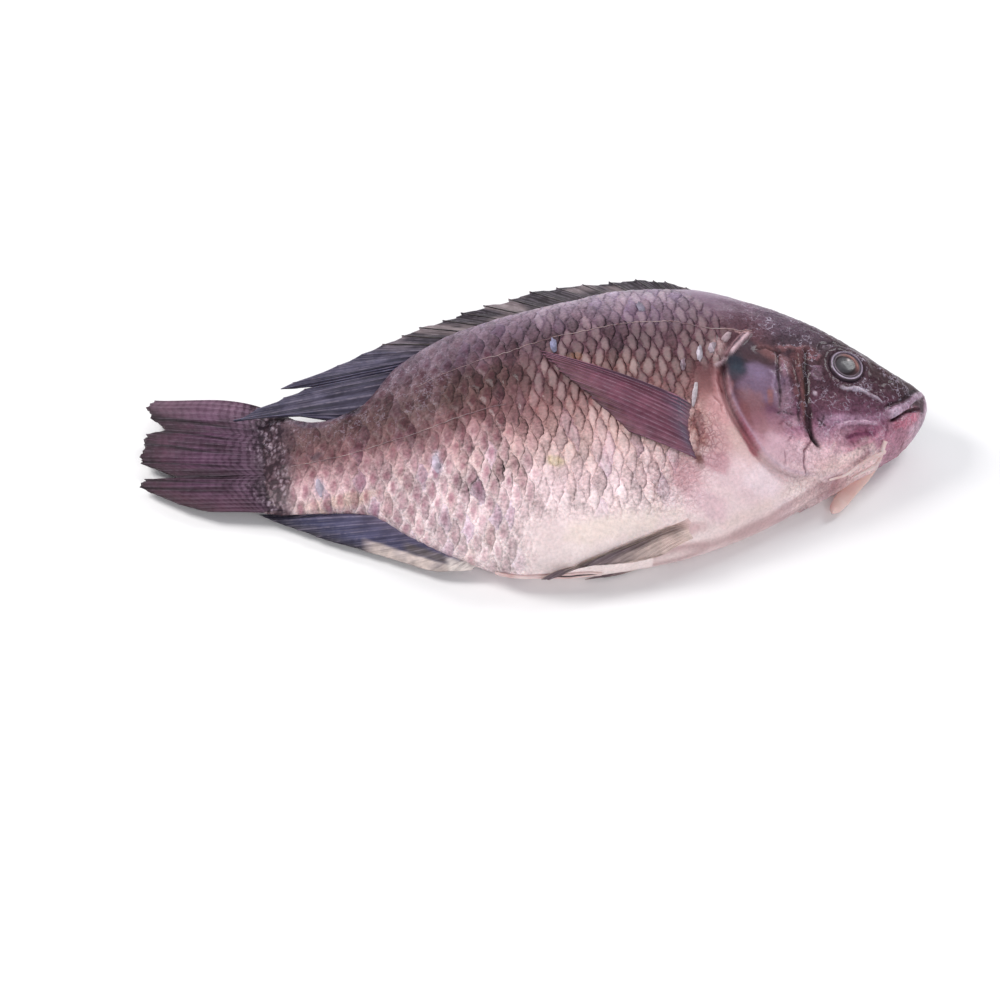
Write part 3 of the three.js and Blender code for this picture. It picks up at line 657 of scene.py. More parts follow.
def make_piece(name, points, faces, material, attributes=None, uv=None):
    """A named mesh from points in fish coordinates, riding with the body in place of the solid."""
    mesh = bpy.data.meshes.new(name)
    mesh.from_pydata(placed(points).tolist(), [], [list(map(int, face)) for face in faces])
    mesh.validate()
    for key, values in (attributes or {}).items():
        values = np.asarray(values, np.float32)
        if values.shape[1] == 4:
            layer = mesh.attributes.new(key, "FLOAT_COLOR", "POINT")
            layer.data.foreach_set("color", values.ravel())
        else:
            layer = mesh.attributes.new(key, "FLOAT_VECTOR", "POINT")
            layer.data.foreach_set("vector", values.ravel())
    if uv is not None:
        layer = mesh.uv_layers.new(name="UVMap")
        loops = np.empty(len(mesh.loops), np.int32)
        mesh.loops.foreach_get("vertex_index", loops)
        layer.data.foreach_set("uv", np.asarray(uv, np.float32)[loops].ravel())
    mesh.polygons.foreach_set("use_smooth", [True] * len(mesh.polygons))
    mesh.materials.append(material)
    piece = bpy.data.objects.new(name, mesh)
    bpy.context.scene.collection.objects.link(piece)
    return dress(piece)


def dress(piece):
    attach(piece, BODY)
    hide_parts(NODE)
    return piece


def closed_sheet(top, bottom):
    """Points and faces of a sheet with a thickness, from the grids of its two faces."""
    rows, columns = top.shape[:2]
    points = np.concatenate([top.reshape(-1, 3), bottom.reshape(-1, 3)])
    count = rows * columns
    faces = [grid_faces(rows, columns), grid_faces(rows, columns, start=count, flip=True)]
    index = np.arange(count).reshape(rows, columns)
    rim = np.concatenate([index[0, :-1], index[:-1, -1], index[-1, :0:-1], index[:0:-1, 0]])
    following = np.roll(rim, -1)
    faces.append(np.stack([rim, rim + count, following + count, following], axis=1))
    return points, np.concatenate(faces)


def outward(points, faces):
    """The faces, turned round if they point into the closed shape."""
    a, b, c, d = (points[faces[:, k]] for k in range(4))
    six = np.sum(a * np.cross(b, c)) + np.sum(a * np.cross(c, d))
    return faces[:, ::-1] if six < 0 else faces


# ---------------------------------------------------------------- helpers for node trees
class Wiring:
    """Short calls that add nodes to one tree and join them."""

    def __init__(self, tree):
        self.tree = tree

    def node(self, kind, **settings):
        node = self.tree.nodes.new(kind)
        for key, value in settings.items():
            setattr(node, key, value)
        return node

    def feed(self, socket, value):
        if isinstance(value, bpy.types.NodeSocket):
            self.tree.links.new(value, socket)
        elif value is not None:
            socket.default_value = value

    def math(self, operation, *values, clamp=False):
        node = self.node("ShaderNodeMath", operation=operation, use_clamp=clamp)
        for socket, value in zip(node.inputs, values):
            self.feed(socket, value)
        return node.outputs[0]

    def times(self, a, b, clamp=False):
        return self.math("MULTIPLY", a, b, clamp=clamp)

    def plus(self, a, b):
        return self.math("ADD", a, b)

    def minus(self, a, b):
        return self.math("SUBTRACT", a, b)

    def raise_surface(self, shader, height, strength, distance):
        node = self.node("ShaderNodeBump")
        node.inputs["Strength"].default_value = strength
        node.inputs["Distance"].default_value = distance
        self.feed(node.inputs["Height"], height)
        self.feed(shader.inputs["Normal"], node.outputs[0])

    def vector(self, operation, *values):
        node = self.node("ShaderNodeVectorMath", operation=operation)
        for socket, value in zip(node.inputs, values):
            self.feed(socket, value)
        return node.outputs[0]

    def mix(self, factor, a, b, blend="MIX"):
        node = self.node("ShaderNodeMix", data_type="RGBA", blend_type=blend)
        self.feed(node.inputs[0], factor)
        self.feed(node.inputs[6], a)
        self.feed(node.inputs[7], b)
        return node.outputs[2]

    def span(self, value, low, high, to_low=0.0, to_high=1.0, kind="SMOOTHSTEP"):
        node = self.node("ShaderNodeMapRange", interpolation_type=kind)
        for socket, part in zip(node.inputs, (value, low, high, to_low, to_high)):
            self.feed(socket, part)
        return node.outputs[0]

    def noise(self, vector, scale, detail=2.0, roughness=0.5):
        node = self.node("ShaderNodeTexNoise")
        self.feed(node.inputs["Vector"], vector)
        self.feed(node.inputs["Scale"], scale)
        self.feed(node.inputs["Detail"], detail)
        self.feed(node.inputs["Roughness"], roughness)
        return node.outputs["Fac"]

    def parts(self, vector):
        node = self.node("ShaderNodeSeparateXYZ")
        self.feed(node.inputs[0], vector)
        return node.outputs

    def stretched(self, vector, scale):
        node = self.node("ShaderNodeMapping")
        self.feed(node.inputs["Vector"], vector)
        node.inputs["Scale"].default_value = scale
        return node.outputs[0]

    def attribute(self, name):
        return self.node("ShaderNodeAttribute", attribute_name=name)

    def group(self, tree, **values):
        node = self.node("ShaderNodeGroup", node_tree=tree)
        for key, value in values.items():
            self.feed(node.inputs[key.replace("_", " ")], value)
        return node.outputs


def new_group(name, inputs, outputs):
    """A shader node group with named sockets, and its input and output nodes."""
    tree = bpy.data.node_groups.new(name, "ShaderNodeTree")
    for label, kind, default in inputs:
        socket = tree.interface.new_socket(name=label, in_out="INPUT", socket_type=kind)
        if default is not None:
            socket.default_value = default
    for label, kind in outputs:
        tree.interface.new_socket(name=label, in_out="OUTPUT", socket_type=kind)
    w = Wiring(tree)
    return w, w.node("NodeGroupInput").outputs, w.node("NodeGroupOutput").inputs


def pocket_group():
    """The pocket a point lies in: spot, pale middle with some painted highlight, painted shade on one side, dark line
    partly of painted shadow, and numbers of its own.
    """
    name = "Scale Pockets"
    if name in bpy.data.node_groups:
        return bpy.data.node_groups[name]
    w, given, out = new_group(
        name,
        [("Cell", "NodeSocketVector", None), ("Place", "NodeSocketVector", None),
         ("Wobble", "NodeSocketFloat", 0.7)],
        [("Spot", "NodeSocketFloat"), ("Pale", "NodeSocketFloat"), ("Line", "NodeSocketFloat"),
         ("Shade", "NodeSocketFloat"), ("Own", "NodeSocketFloat"), ("Other", "NodeSocketFloat"),
         ("Height", "NodeSocketFloat")],
    )
    clouds = w.node("ShaderNodeTexNoise")
    w.feed(clouds.inputs["Vector"], given["Place"])
    clouds.inputs["Scale"].default_value = 300.0
    clouds.inputs["Detail"].default_value = 3.0
    shift = w.vector("SUBTRACT", clouds.outputs["Color"], (0.5, 0.5, 0.5))
    moved = w.vector("ADD", given["Cell"], w.vector("SCALE", shift, None, None, given["Wobble"]))
    p, q, _ = w.parts(moved)
    row = w.math("FLOOR", q)
    a = w.minus(q, row)
    odd = w.math("FLOORED_MODULO", row, 2.0)
    fx = w.math("FLOORED_MODULO", w.minus(p, odd), 2.0)
    a_left = w.minus(1.0, a)
    first = w.minus(1.0, w.times(a, a))
    second = w.minus(2.0, w.times(a_left, a_left))
    past_first = w.math("GREATER_THAN", fx, first)
    past_second = w.math("GREATER_THAN", fx, second)
    dx = w.minus(fx, w.plus(past_first, past_second))
    between_rows = w.minus(past_first, past_second)
    dy = w.minus(a, between_rows)
    dy_square = w.times(dy, dy)
    dy_left = w.minus(1.0, w.math("ABSOLUTE", dy))
    head_gap = w.minus(w.minus(1.0, dy_square), dx)
    tail_gap = w.plus(dx, w.times(dy_left, dy_left))
    centre = w.node("ShaderNodeCombineXYZ")
    w.feed(centre.inputs[0], w.math("ROUND", w.minus(p, dx)))
    w.feed(centre.inputs[1], w.math("ROUND", w.minus(q, dy)))
    own = w.node("ShaderNodeTexWhiteNoise", noise_dimensions="2D")
    w.feed(own.inputs["Vector"], centre.outputs[0])
    other = w.node("ShaderNodeSeparateXYZ")
    w.feed(other.inputs[0], own.outputs["Color"])

    def oval(middle, wide, high):
        u = w.math("DIVIDE", w.minus(dx, middle), wide)
        v = w.math("DIVIDE", dy, high)
        return w.plus(w.times(u, u), w.times(v, v))

    own_size = w.span(own.outputs["Value"], 0.0, 1.0, 0.75, 1.5, "LINEAR")
    w.feed(out["Spot"], w.span(w.times(oval(0.24, 0.62, 0.62), own_size), 0.0, 1.6, 1.0, 0.0))
    w.feed(out["Pale"], w.span(oval(0.1, 0.62, 0.72), 0.1, 1.25, 1.0, 0.0))
    # The dark line, partly a dark gap and partly painted shadow, and the painted shade of the shaded side lie along
    # the head edge, and fade where two pockets meet.
    aside = w.math("ABSOLUTE", dy)
    line = w.span(head_gap, 0.05, 0.2, 1.0, 0.0)
    w.feed(out["Line"], w.times(line, w.span(aside, 0.4, 0.95, 1.0, 0.15)))
    shade = w.span(head_gap, 0.0, 0.6, 1.0, 0.0)
    w.feed(out["Shade"], w.times(shade, w.span(aside, 0.3, 1.0, 1.0, 0.25)))
    w.feed(out["Own"], own.outputs["Value"])
    w.feed(out["Other"], other.outputs[1])
    w.feed(out["Height"], w.times(w.span(head_gap, 0.0, 0.3), w.span(tail_gap, 0.0, 0.35)))
    return w.tree


def wet_group():
    """Wet skin: cloudy mottling, a fine grain, an uneven gloss, small specks and fine lines of painted highlight."""
    name = "Wet Mottling"
    if name in bpy.data.node_groups:
        return bpy.data.node_groups[name]
    w, given, out = new_group(
        name,
        [("Vector", "NodeSocketVector", None), ("Cloud Scale", "NodeSocketFloat", 120.0),
         ("Grain Scale", "NodeSocketFloat", 900.0)],
        [("Cloud", "NodeSocketFloat"), ("Grain", "NodeSocketFloat"), ("Gloss", "NodeSocketFloat"),
         ("Speck", "NodeSocketFloat"), ("Glint Thread", "NodeSocketFloat")],
    )
    cloud = w.noise(given["Vector"], given["Cloud Scale"], 4.0, 0.6)
    fine = w.noise(given["Vector"], given["Grain Scale"], 3.0, 0.6)
    w.feed(out["Cloud"], w.span(cloud, 0.3, 0.7))
    w.feed(out["Grain"], fine)
    blotches = w.noise(given["Vector"], w.times(given["Cloud Scale"], 2.3), 2.0, 0.5)
    w.feed(out["Gloss"], w.span(blotches, 0.35, 0.65))
    specks = w.noise(given["Vector"], w.times(given["Grain Scale"], 0.8), 1.0, 0.5)
    w.feed(out["Speck"], w.span(specks, 0.6, 0.7))
    glint_noise = w.noise(given["Vector"], w.times(given["Cloud Scale"], 1.7), 3.0, 0.6)
    off = w.math("ABSOLUTE", w.minus(glint_noise, 0.5))
    w.feed(out["Glint Thread"], w.times(w.span(off, 0.004, 0.026, 1.0, 0.0), w.span(cloud, 0.42, 0.54)))
    return w.tree


def small_scale_group():
    """Small raised scales and the dark gaps between them, as on the root of the tail fin."""
    name = "Small Scales"
    if name in bpy.data.node_groups:
        return bpy.data.node_groups[name]
    w, given, out = new_group(
        name, [("Vector", "NodeSocketVector", None)], [("Plate", "NodeSocketFloat"), ("Gap", "NodeSocketFloat")]
    )
    bent = w.node("ShaderNodeTexNoise")
    w.feed(bent.inputs["Vector"], given["Vector"])
    bent.inputs["Scale"].default_value = 420.0
    place = w.vector("ADD", given["Vector"], w.vector("SCALE", bent.outputs["Color"], None, None, 0.003))
    cells = w.node("ShaderNodeTexVoronoi", feature="F1")
    w.feed(cells.inputs["Vector"], w.stretched(place, (640.0, 400.0, 100.0)))
    cells.inputs["Scale"].default_value = 1.0
    cells.inputs["Randomness"].default_value = 0.8
    w.feed(out["Plate"], w.span(cells.outputs["Distance"], 0.1, 0.5, 1.0, 0.0))
    w.feed(out["Gap"], w.span(cells.outputs["Distance"], 0.4, 0.7))
    return w.tree


def wrinkle_group():
    """A net of soft wrinkles between small cushions of skin."""
    name = "Wrinkle Net"
    if name in bpy.data.node_groups:
        return bpy.data.node_groups[name]
    w, given, out = new_group(
        name,
        [("Vector", "NodeSocketVector", None), ("Scale", "NodeSocketFloat", 420.0)],
        [("Line", "NodeSocketFloat"), ("Height", "NodeSocketFloat")],
    )
    bent = w.node("ShaderNodeTexNoise")
    w.feed(bent.inputs["Vector"], given["Vector"])
    w.feed(bent.inputs["Scale"], w.times(given["Scale"], 0.6))
    place = w.vector("ADD", given["Vector"], w.vector("SCALE", bent.outputs["Color"], None, None, 0.003))
    net = w.node("ShaderNodeTexVoronoi", feature="DISTANCE_TO_EDGE")
    w.feed(net.inputs["Vector"], place)
    w.feed(net.inputs["Scale"], given["Scale"])
    w.feed(out["Line"], w.span(net.outputs["Distance"], 0.02, 0.16, 1.0, 0.0))
    w.feed(out["Height"], w.span(net.outputs["Distance"], 0.0, 0.3))
    return w.tree


def new_material(name):
    material = bpy.data.materials.new(name)
    material.use_nodes = True
    tree = material.node_tree
    tree.nodes.clear()
    w = Wiring(tree)
    shader = w.node("ShaderNodeBsdfPrincipled")
    output = w.node("ShaderNodeOutputMaterial")
    tree.links.new(shader.outputs[0], output.inputs[0])
    return material, w, shader


def small_scales(w, colour, place, share, cloud):
    """Lays small scales over a colour where share says, and gives the colour and the raised plates."""
    small = w.group(small_scale_group(), Vector=place)
    plates = w.times(small["Plate"], share)
    gaps = w.times(w.times(small["Gap"], share), 0.85)
    colour = w.mix(gaps, colour, (0.22, 0.18, 0.22, 1.0), "MULTIPLY")
    return w.mix(w.times(plates, cloud), colour, (0.34, 0.28, 0.33, 1.0), "SCREEN"), plates


def skin_material(look):
    """Bare wet skin: painted zones, scale pockets, wrinkles, specks and mottling."""
    name = "Fish Skin"
    if name in bpy.data.materials:
        return bpy.data.materials[name]
    material, w, shader = new_material(name)
    place = w.node("ShaderNodeTexCoord").outputs["Object"]
    tone = w.attribute("tone").outputs["Color"]
    cell = w.attribute("cell").outputs["Vector"]
    scaled = w.parts(cell)[2]
    spots, pale, lines = w.parts(w.attribute("shares").outputs["Vector"])
    wrinkled, speckled, wetness = w.parts(w.attribute("finish").outputs["Vector"])
    pocket = w.group(pocket_group(), Cell=cell, Place=place)
    wet = w.group(wet_group(), Vector=place)
    net = w.group(wrinkle_group(), Vector=place, Scale=460.0)

    # Each pocket has a lightness of its own, and painted shade darkens it towards its head edge.
    contrast = w.span(lines, 0.0, 0.8, 0.4, 1.0, "LINEAR")
    own = w.span(pocket["Own"], 0.0, 1.0, -0.3, 0.3, "LINEAR")
    own = w.plus(own, w.times(pocket["Shade"], -look.shade_strength))
    own = w.times(own, contrast)
    mottled = w.span(w.math("MAXIMUM", scaled, speckled), 0.0, 0.6, 0.3, 1.0, "LINEAR")
    cloud = w.span(wet["Cloud"], 0.0, 1.0, -0.2, 0.2, "LINEAR")
    cloud = w.plus(cloud, w.span(wet["Grain"], 0.3, 0.7, -0.34, 0.34, "LINEAR"))
    light = w.plus(w.times(own, scaled), w.times(cloud, mottled))
    colour = w.vector("SCALE", tone, None, None, w.plus(1.0, light))
    warm = w.times(w.span(pocket["Other"], 0.7, 0.95), scaled)
    colour = w.mix(w.times(warm, 0.3), colour, (1.0, 0.9, 0.82, 1.0), "MULTIPLY")
    cold = w.times(w.span(pocket["Other"], 0.05, 0.25, 1.0, 0.0), scaled)
    colour = w.mix(w.times(cold, 0.5), colour, (0.84, 0.8, 1.0, 1.0), "MULTIPLY")

    # Pale middles: paler skin with some painted highlight on each pocket's bulge.
    middle = w.times(w.times(pocket["Pale"], pale), look.pale_strength)
    middle = w.times(middle, w.span(pocket["Own"], 0.0, 1.0, 0.2, 1.2, "LINEAR"))
    colour = w.mix(middle, colour, (*look.pale_tint, 1.0), "SCREEN")
    uneven = w.span(wet["Gloss"], 0.0, 1.0, 0.55, 1.0, "LINEAR")
    spot = w.times(w.times(pocket["Spot"], spots), uneven)
    colour = w.mix(w.times(spot, look.spot_strength), colour, (*look.spot_tint, 1.0), "MULTIPLY")
    # The dark line at each head edge: partly a dark gap and partly painted shadow.
    broken = w.span(w.noise(place, 230.0, 3.0), 0.37, 0.5)
    drawn = w.times(w.times(pocket["Line"], lines), broken)
    drawn = w.times(drawn, w.span(pocket["Other"], 0.1, 0.8, 0.5, 1.3, "LINEAR"), clamp=True)
    colour = w.mix(w.times(drawn, look.line_strength), colour, (*look.line_tint, 1.0), "MULTIPLY")
    # painted shade in the creases of the wrinkle net
    folds = w.times(w.times(net["Line"], wrinkled), 0.6)
    colour = w.mix(folds, colour, (0.46, 0.26, 0.3, 1.0), "MULTIPLY")
    specks = w.times(w.times(wet["Speck"], speckled), 0.5)
    colour = w.mix(specks, colour, (0.4, 0.22, 0.3, 1.0), "MULTIPLY")
    # Painted highlights: fine glinting lines of wet wrinkles on the head and nape, also raised a little.
    glint_threads = w.times(wet["Glint Thread"], speckled)
    colour = w.mix(glint_threads, colour, (0.28, 0.24, 0.3, 1.0), "SCREEN")
    # Small scales with dark gaps cover the root of the tail fin, out to an uneven border.
    border =w.plus(w.parts(place)[0], w.times(w.noise(place, 170.0, 3.0), 0.014))
    at_tail = w.span(border, -0.0905, -0.0865, 1.0, 0.0)
    colour, plates = small_scales(w, colour, place, at_tail, wet["Cloud"])
    w.feed(shader.inputs["Base Color"], colour)

    w.feed(shader.inputs["Roughness"], w.span(wet["Gloss"], 0.0, 1.0, 0.36, 0.55, "LINEAR"))
    shader.inputs["Specular IOR Level"].default_value = 0.06
    w.feed(shader.inputs["Coat Weight"], w.times(wetness, 0.2))
    shader.inputs["Coat Roughness"].default_value = 0.1
    shader.inputs["Subsurface Weight"].default_value = 0.1
    shader.inputs["Subsurface Radius"].default_value = (1.0, 0.45, 0.35)
    shader.inputs["Subsurface Scale"].default_value = 0.002
    relief = w.times(pocket["Height"], scaled)
    relief = w.plus(relief, w.times(wet["Grain"], 0.5))
    relief = w.plus(relief, w.times(wet["Cloud"], 0.5))
    relief = w.plus(relief, w.times(net["Height"], wrinkled))
    relief = w.plus(w.plus(relief, plates), glint_threads)
    w.raise_surface(shader, relief, 0.6, 0.0006)
    return material


def with_alpha(colours):
    """Colours as rows of four numbers, fully opaque."""
    rows = colours.reshape(-1, 3)
    return np.concatenate([rows, np.ones((len(rows), 1))], axis=1)


def skin_attributes(x, y, angle, body):
    """The attributes that the skin's material reads, for points over (x, y)."""
    p, q = pocket_lattice(x, angle, body.pocket_pitch, body.pocket_height)
    return {
        "tone": with_alpha(skin_colour(x, y)),
        "cell": np.stack([p, q, scaled_share(x, y)], axis=-1).reshape(-1, 3),
        "shares": np.stack(marking_share(x, y), axis=-1).reshape(-1, 3),
        "finish": np.stack(finish_share(x, y), axis=-1).reshape(-1, 3),
    }


def rod_tree():
    """Sweeps a round section along each line of a wire mesh, by the thickness kept on its points."""
    name = "Tapered Rods"
    if name in bpy.data.node_groups:
        return bpy.data.node_groups[name]
    tree = bpy.data.node_groups.new(name, "GeometryNodeTree")
    tree.interface.new_socket(name="Lines", in_out="INPUT", socket_type="NodeSocketGeometry")
    for label, kind, default in (("Thickness", "NodeSocketFloat", 1.0), ("Sides", "NodeSocketInt", 7),
                                 ("Finish", "NodeSocketMaterial", None)):
        socket = tree.interface.new_socket(name=label, in_out="INPUT", socket_type=kind)
        if default is not None:
            socket.default_value = default
    tree.interface.new_socket(name="Rods", in_out="OUTPUT", socket_type="NodeSocketGeometry")
    w = Wiring(tree)
    given = w.node("NodeGroupInput").outputs
    lines = w.node("GeometryNodeMeshToCurve")
    w.feed(lines.inputs[0], given["Lines"])
    thick = w.node("GeometryNodeInputNamedAttribute", data_type="FLOAT")
    thick.inputs["Name"].default_value = "thick"
    size = w.times(thick.outputs[0], given["Thickness"])
    section = w.node("GeometryNodeCurvePrimitiveCircle")
    w.feed(section.inputs["Resolution"], given["Sides"])
    section.inputs["Radius"].default_value = 1.0
    sweep = w.node("GeometryNodeCurveToMesh")
    w.feed(sweep.inputs["Curve"], lines.outputs[0])
    w.feed(sweep.inputs["Profile Curve"], section.outputs[0])
    sweep.inputs["Fill Caps"].default_value = True
    w.feed(sweep.inputs["Scale"], size)
    shade = w.node("GeometryNodeSetShadeSmooth")
    w.feed(shade.inputs[0], sweep.outputs[0])
    real = w.node("GeometryNodeRealizeInstances")
    w.feed(real.inputs[0], shade.outputs[0])
    finish = w.node("GeometryNodeSetMaterial")
    w.feed(finish.inputs["Geometry"], real.outputs[0])
    w.feed(finish.inputs["Material"], given["Finish"])
    w.feed(w.node("NodeGroupOutput").inputs[0], finish.outputs[0])
    return tree


def evaluated_piece(name, base, tree, settings):
    """The plain mesh that a node tree makes of a base mesh, as a piece of its own."""
    carrier = bpy.data.objects.new(name + "_lines", base)
    bpy.context.scene.collection.objects.link(carrier)
    modifier = carrier.modifiers.new("shape", "NODES")
    modifier.node_group = tree
    for item in tree.interface.items_tree:
        if item.in_out == "INPUT" and item.name in settings:
            modifier[item.identifier] = settings[item.name]
    evaluated = carrier.evaluated_get(bpy.context.evaluated_depsgraph_get())
    mesh = bpy.data.meshes.new_from_object(evaluated)
    bpy.data.objects.remove(carrier)
    mesh.name = name
    piece = bpy.data.objects.new(name, mesh)
    bpy.context.scene.collection.objects.link(piece)
    return dress(piece)


def rods(name, guides, thick, material, sides=7):
    """Tapered rods along guide lines: thick is the radius in millimetres at the root and at the tip."""
    points, edges, radii = [], [], []
    for guide in guides:
        first = len(points)
        points.extend(placed(guide).tolist())
        edges.extend((first + i, first + i + 1) for i in range(len(guide) - 1))
        radii.extend(lerp(thick[0], thick[1], np.linspace(0, 1, len(guide)) ** 0.8) * MM)
    base = bpy.data.meshes.new(name + "_lines")
    base.from_pydata(points, edges, [])
    base.attributes.new("thick", "FLOAT", "POINT").data.foreach_set("value", radii)
    settings = {"Thickness": 1.0, "Sides": sides, "Finish": material}
    return evaluated_piece(name, base, rod_tree(), settings)


def fin_pattern_group():
    """A fin's pattern from its own map: rays, branching rays, cross bars and wet streaks."""
    name = "Fin Pattern"
    if name in bpy.data.node_groups:
        return bpy.data.node_groups[name]
    w, given, out = new_group(
        name,
        [("Map", "NodeSocketVector", None), ("Bars", "NodeSocketFloat", 18.0)],
        [("Ray", "NodeSocketFloat"), ("Branch", "NodeSocketFloat"), ("Bar", "NodeSocketFloat"),
         ("Streak", "NodeSocketFloat")],
    )
    k, along, _ = w.parts(given["Map"])

    def lines(value, width):
        off = w.math("ABSOLUTE", w.minus(w.math("FRACT", w.plus(value, 0.5)), 0.5))
        return w.span(off, width * 0.4, width, 1.0, 0.0)

    w.feed(out["Ray"], lines(k, 0.16))
    halves = w.times(lines(w.times(k, 2.0), 0.2), w.span(along, 0.25, 0.4))
    quarters = w.times(lines(w.times(k, 4.0), 0.28), w.span(along, 0.45, 0.65))
    w.feed(out["Branch"], w.math("MAXIMUM", halves, quarters))
    wobble = w.noise(w.stretched(given["Map"], (0.8, 7.0, 1.0)), 1.0, 3.0, 0.6)
    phase = w.times(along, w.times(given["Bars"], 6.2832))
    wave = w.math("SINE", w.plus(phase, w.times(wobble, 9.0)))
    w.feed(out["Bar"], w.span(wave, -0.2, 0.7))
    w.feed(out["Streak"], w.span(w.noise(w.stretched(given["Map"], (3.2, 2.4, 1.0)), 1.0, 4.0, 0.6), 0.3, 0.7))
    return w.tree


def rgba(colour):
    return (*[float(part) for part in linear(colour)], 1.0)


def fin_material():
    """Wet fin membrane: painted tones under streaks, cross bars, rays and small scales."""
    name = "Fin Membrane"
    if name in bpy.data.materials:
        return bpy.data.materials[name]
    material, w, shader = new_material(name)
    place = w.node("ShaderNodeTexCoord").outputs["Object"]
    fin_map = w.node("ShaderNodeUVMap", uv_map="UVMap").outputs[0]
    pattern = w.group(fin_pattern_group(), Map=fin_map)
    wet = w.group(wet_group(), Vector=place, Cloud_Scale=170.0)
    rays, bars, scales = w.parts(w.attribute("shares").outputs["Vector"])
    light = w.span(wet["Cloud"], 0.0, 1.0, 0.8, 1.2, "LINEAR")
    colour = w.vector("SCALE", w.attribute("tone").outputs["Color"], None, None, light)
    dark = w.span(pattern["Streak"], 0.0, 1.0, 0.65, 0.0, "LINEAR")
    colour = w.mix(w.times(dark, rays), colour, (0.24, 0.19, 0.22, 1.0), "MULTIPLY")
    barred = w.times(pattern["Bar"], bars)
    colour = w.mix(barred, colour, (0.42, 0.34, 0.4, 1.0), "MULTIPLY")
    lines = w.math("MAXIMUM", pattern["Ray"], w.times(pattern["Branch"], 0.6))
    lines = w.times(lines, w.span(wet["Gloss"], 0.0, 1.0, 0.2, 1.0, "LINEAR"))
    colour = w.mix(w.times(lines, rays), colour, (0.12, 0.1, 0.125, 1.0), "SCREEN")
    colour, plates = small_scales(w, colour, place, scales, wet["Cloud"])
    w.feed(shader.inputs["Base Color"], colour)
    w.feed(shader.inputs["Roughness"], w.span(wet["Gloss"], 0.0, 1.0, 0.34, 0.5, "LINEAR"))
    shader.inputs["Specular IOR Level"].default_value = 0.15
    shader.inputs["Coat Weight"].default_value = 0.12
    shader.inputs["Coat Roughness"].default_value = 0.15
    relief = w.plus(lines, w.times(wet["Grain"], 0.5))
    w.raise_surface(shader, w.plus(relief, plates), 0.6, 0.0004)
    return material


def plain_wet_material(name, tone, other, scale, subsurface=0.1):
    """Wet flesh or ray of two mixed tones."""
    if name in bpy.data.materials:
        return bpy.data.materials[name]
    material, w, shader = new_material(name)
    place = w.node("ShaderNodeTexCoord").outputs["Object"]
    wet = w.group(wet_group(), Vector=place, Cloud_Scale=scale)
    colour = w.mix(wet["Cloud"], rgba(tone), rgba(other))
    w.feed(shader.inputs["Base Color"], colour)
    w.feed(shader.inputs["Roughness"], w.span(wet["Gloss"], 0.0, 1.0, 0.28, 0.46, "LINEAR"))
    shader.inputs["Specular IOR Level"].default_value = 0.2
    shader.inputs["Coat Weight"].default_value = 0.12
    shader.inputs["Coat Roughness"].default_value = 0.12
    shader.inputs["Subsurface Weight"].default_value = subsurface
    shader.inputs["Subsurface Scale"].default_value = 0.002
    w.raise_surface(shader, wet["Grain"], 0.4, 0.0003)
    return material


# ---------------------------------------------------------------- the fins, in fish coordinates
# Back fin: where each guide leaves the back, and where it ends (x, y, z).
BACK_FIN = [
    (79, 77, 61.0, 24.5), (73, 61, 70.2, 24), (66, 51, 72.6, 23.5), (52, 30, 73.4, 23),
    (36, 10, 71.6, 23), (20, -8, 66.8, 22.5), (5, -25, 61.2, 22), (-10, -41, 56.0, 21),
    (-22, -55, 49.6, 20), (-29, -72, 42.6, 18), (-34, -98.4, 32.9, 16), (-40, -86, 33.6, 15),
    (-48, -100, 28.2, 14), (-56, -117, 21.0, 12.5), (-63, -98, 22.8, 12.5), (-69, -77, 18.8, 12),
]
REAR_FIN = [
    (-22, -28, -52.9, 4.8), (-26, -40, -51.8, 4.2), (-31, -53, -46.0, 3.7), (-36, -64, -40.8, 3.4),
    (-41, -74, -36.2, 3.3), (-47, -84, -31.6, 3.2), (-53, -95, -25.6, 3.2), (-59, -107, -18.8, 3.5),
    (-64, -98, -21.2, 4.5), (-69, -80, -24.6, 6),
]
# Root x, y, z, then tip x, y, z; the tips are joined by straight edges, which makes sharp notches.
TAIL_FIN = [
    (-96, 25.4, 7.6, -147.1, 40.6, 5.5), (-96, 21.4, 7.4, -150.2, 37.4, 5.5), (-96, 17.6, 7.3, -148.5, 32.0, 5.3),
    (-96, 14.0, 7.2, -142.3, 25.3, 5.0), (-96, 10.6, 7.1, -150.7, 24.2, 4.8), (-96, 7.2, 7.0, -151.3, 19.0, 4.6),
    (-96, 4.0, 7.0, -152.4, 13.0, 4.4), (-96, 0.6, 7.0, -151.9, 9.9, 4.2), (-96, -2.8, 7.0, -137.9, 1.4, 4.2),
    (-96, -6.2, 7.0, -151.0, 2.2, 4.0), (-96, -9.6, 7.0, -152.3, -1.7, 4.0), (-96, -13.2, 7.0, -145.8, -6.2, 4.2),
    (-96, -17.0, 7.0, -137.2, -11.6, 4.6), (-96, -20.8, 6.9, -126.0, -16.6, 5.0),
]
TAIL_BOW = 0.44
BREAST_FIN = [
    (64, -12.0, 0, 4.5, 19.8, 0), (63, -16.5, 0, 5.5, 17, 0), (62, -21.5, 0, 10, 9.6, 0),
    (61.5, -26.5, 0, 20, -3, 0), (61.5, -31, 0, 33, -18, 0),
]
BELLY_FIN_RIGHT = [
    (53, -47.6, 14, -3, -61.6, 5.0), (54, -48.8, 12, 2, -62.6, 4.6), (54.6, -50.0, 10, 10, -62.9, 6.0),
    (55, -51.2, 8, 22, -62.1, 7.0), (55.4, -52.4, 6.5, 34, -60.0, 8.0),
]
BELLY_BOW = -0.22
BELLY_FIN_LEFT = [
    (56, -49, 5.5, 14, -58.5, 1.6), (55, -45, 3.5, 26, -57.0, 0.9), (54, -41, 1.5, 40, -53.0, 0.7),
]
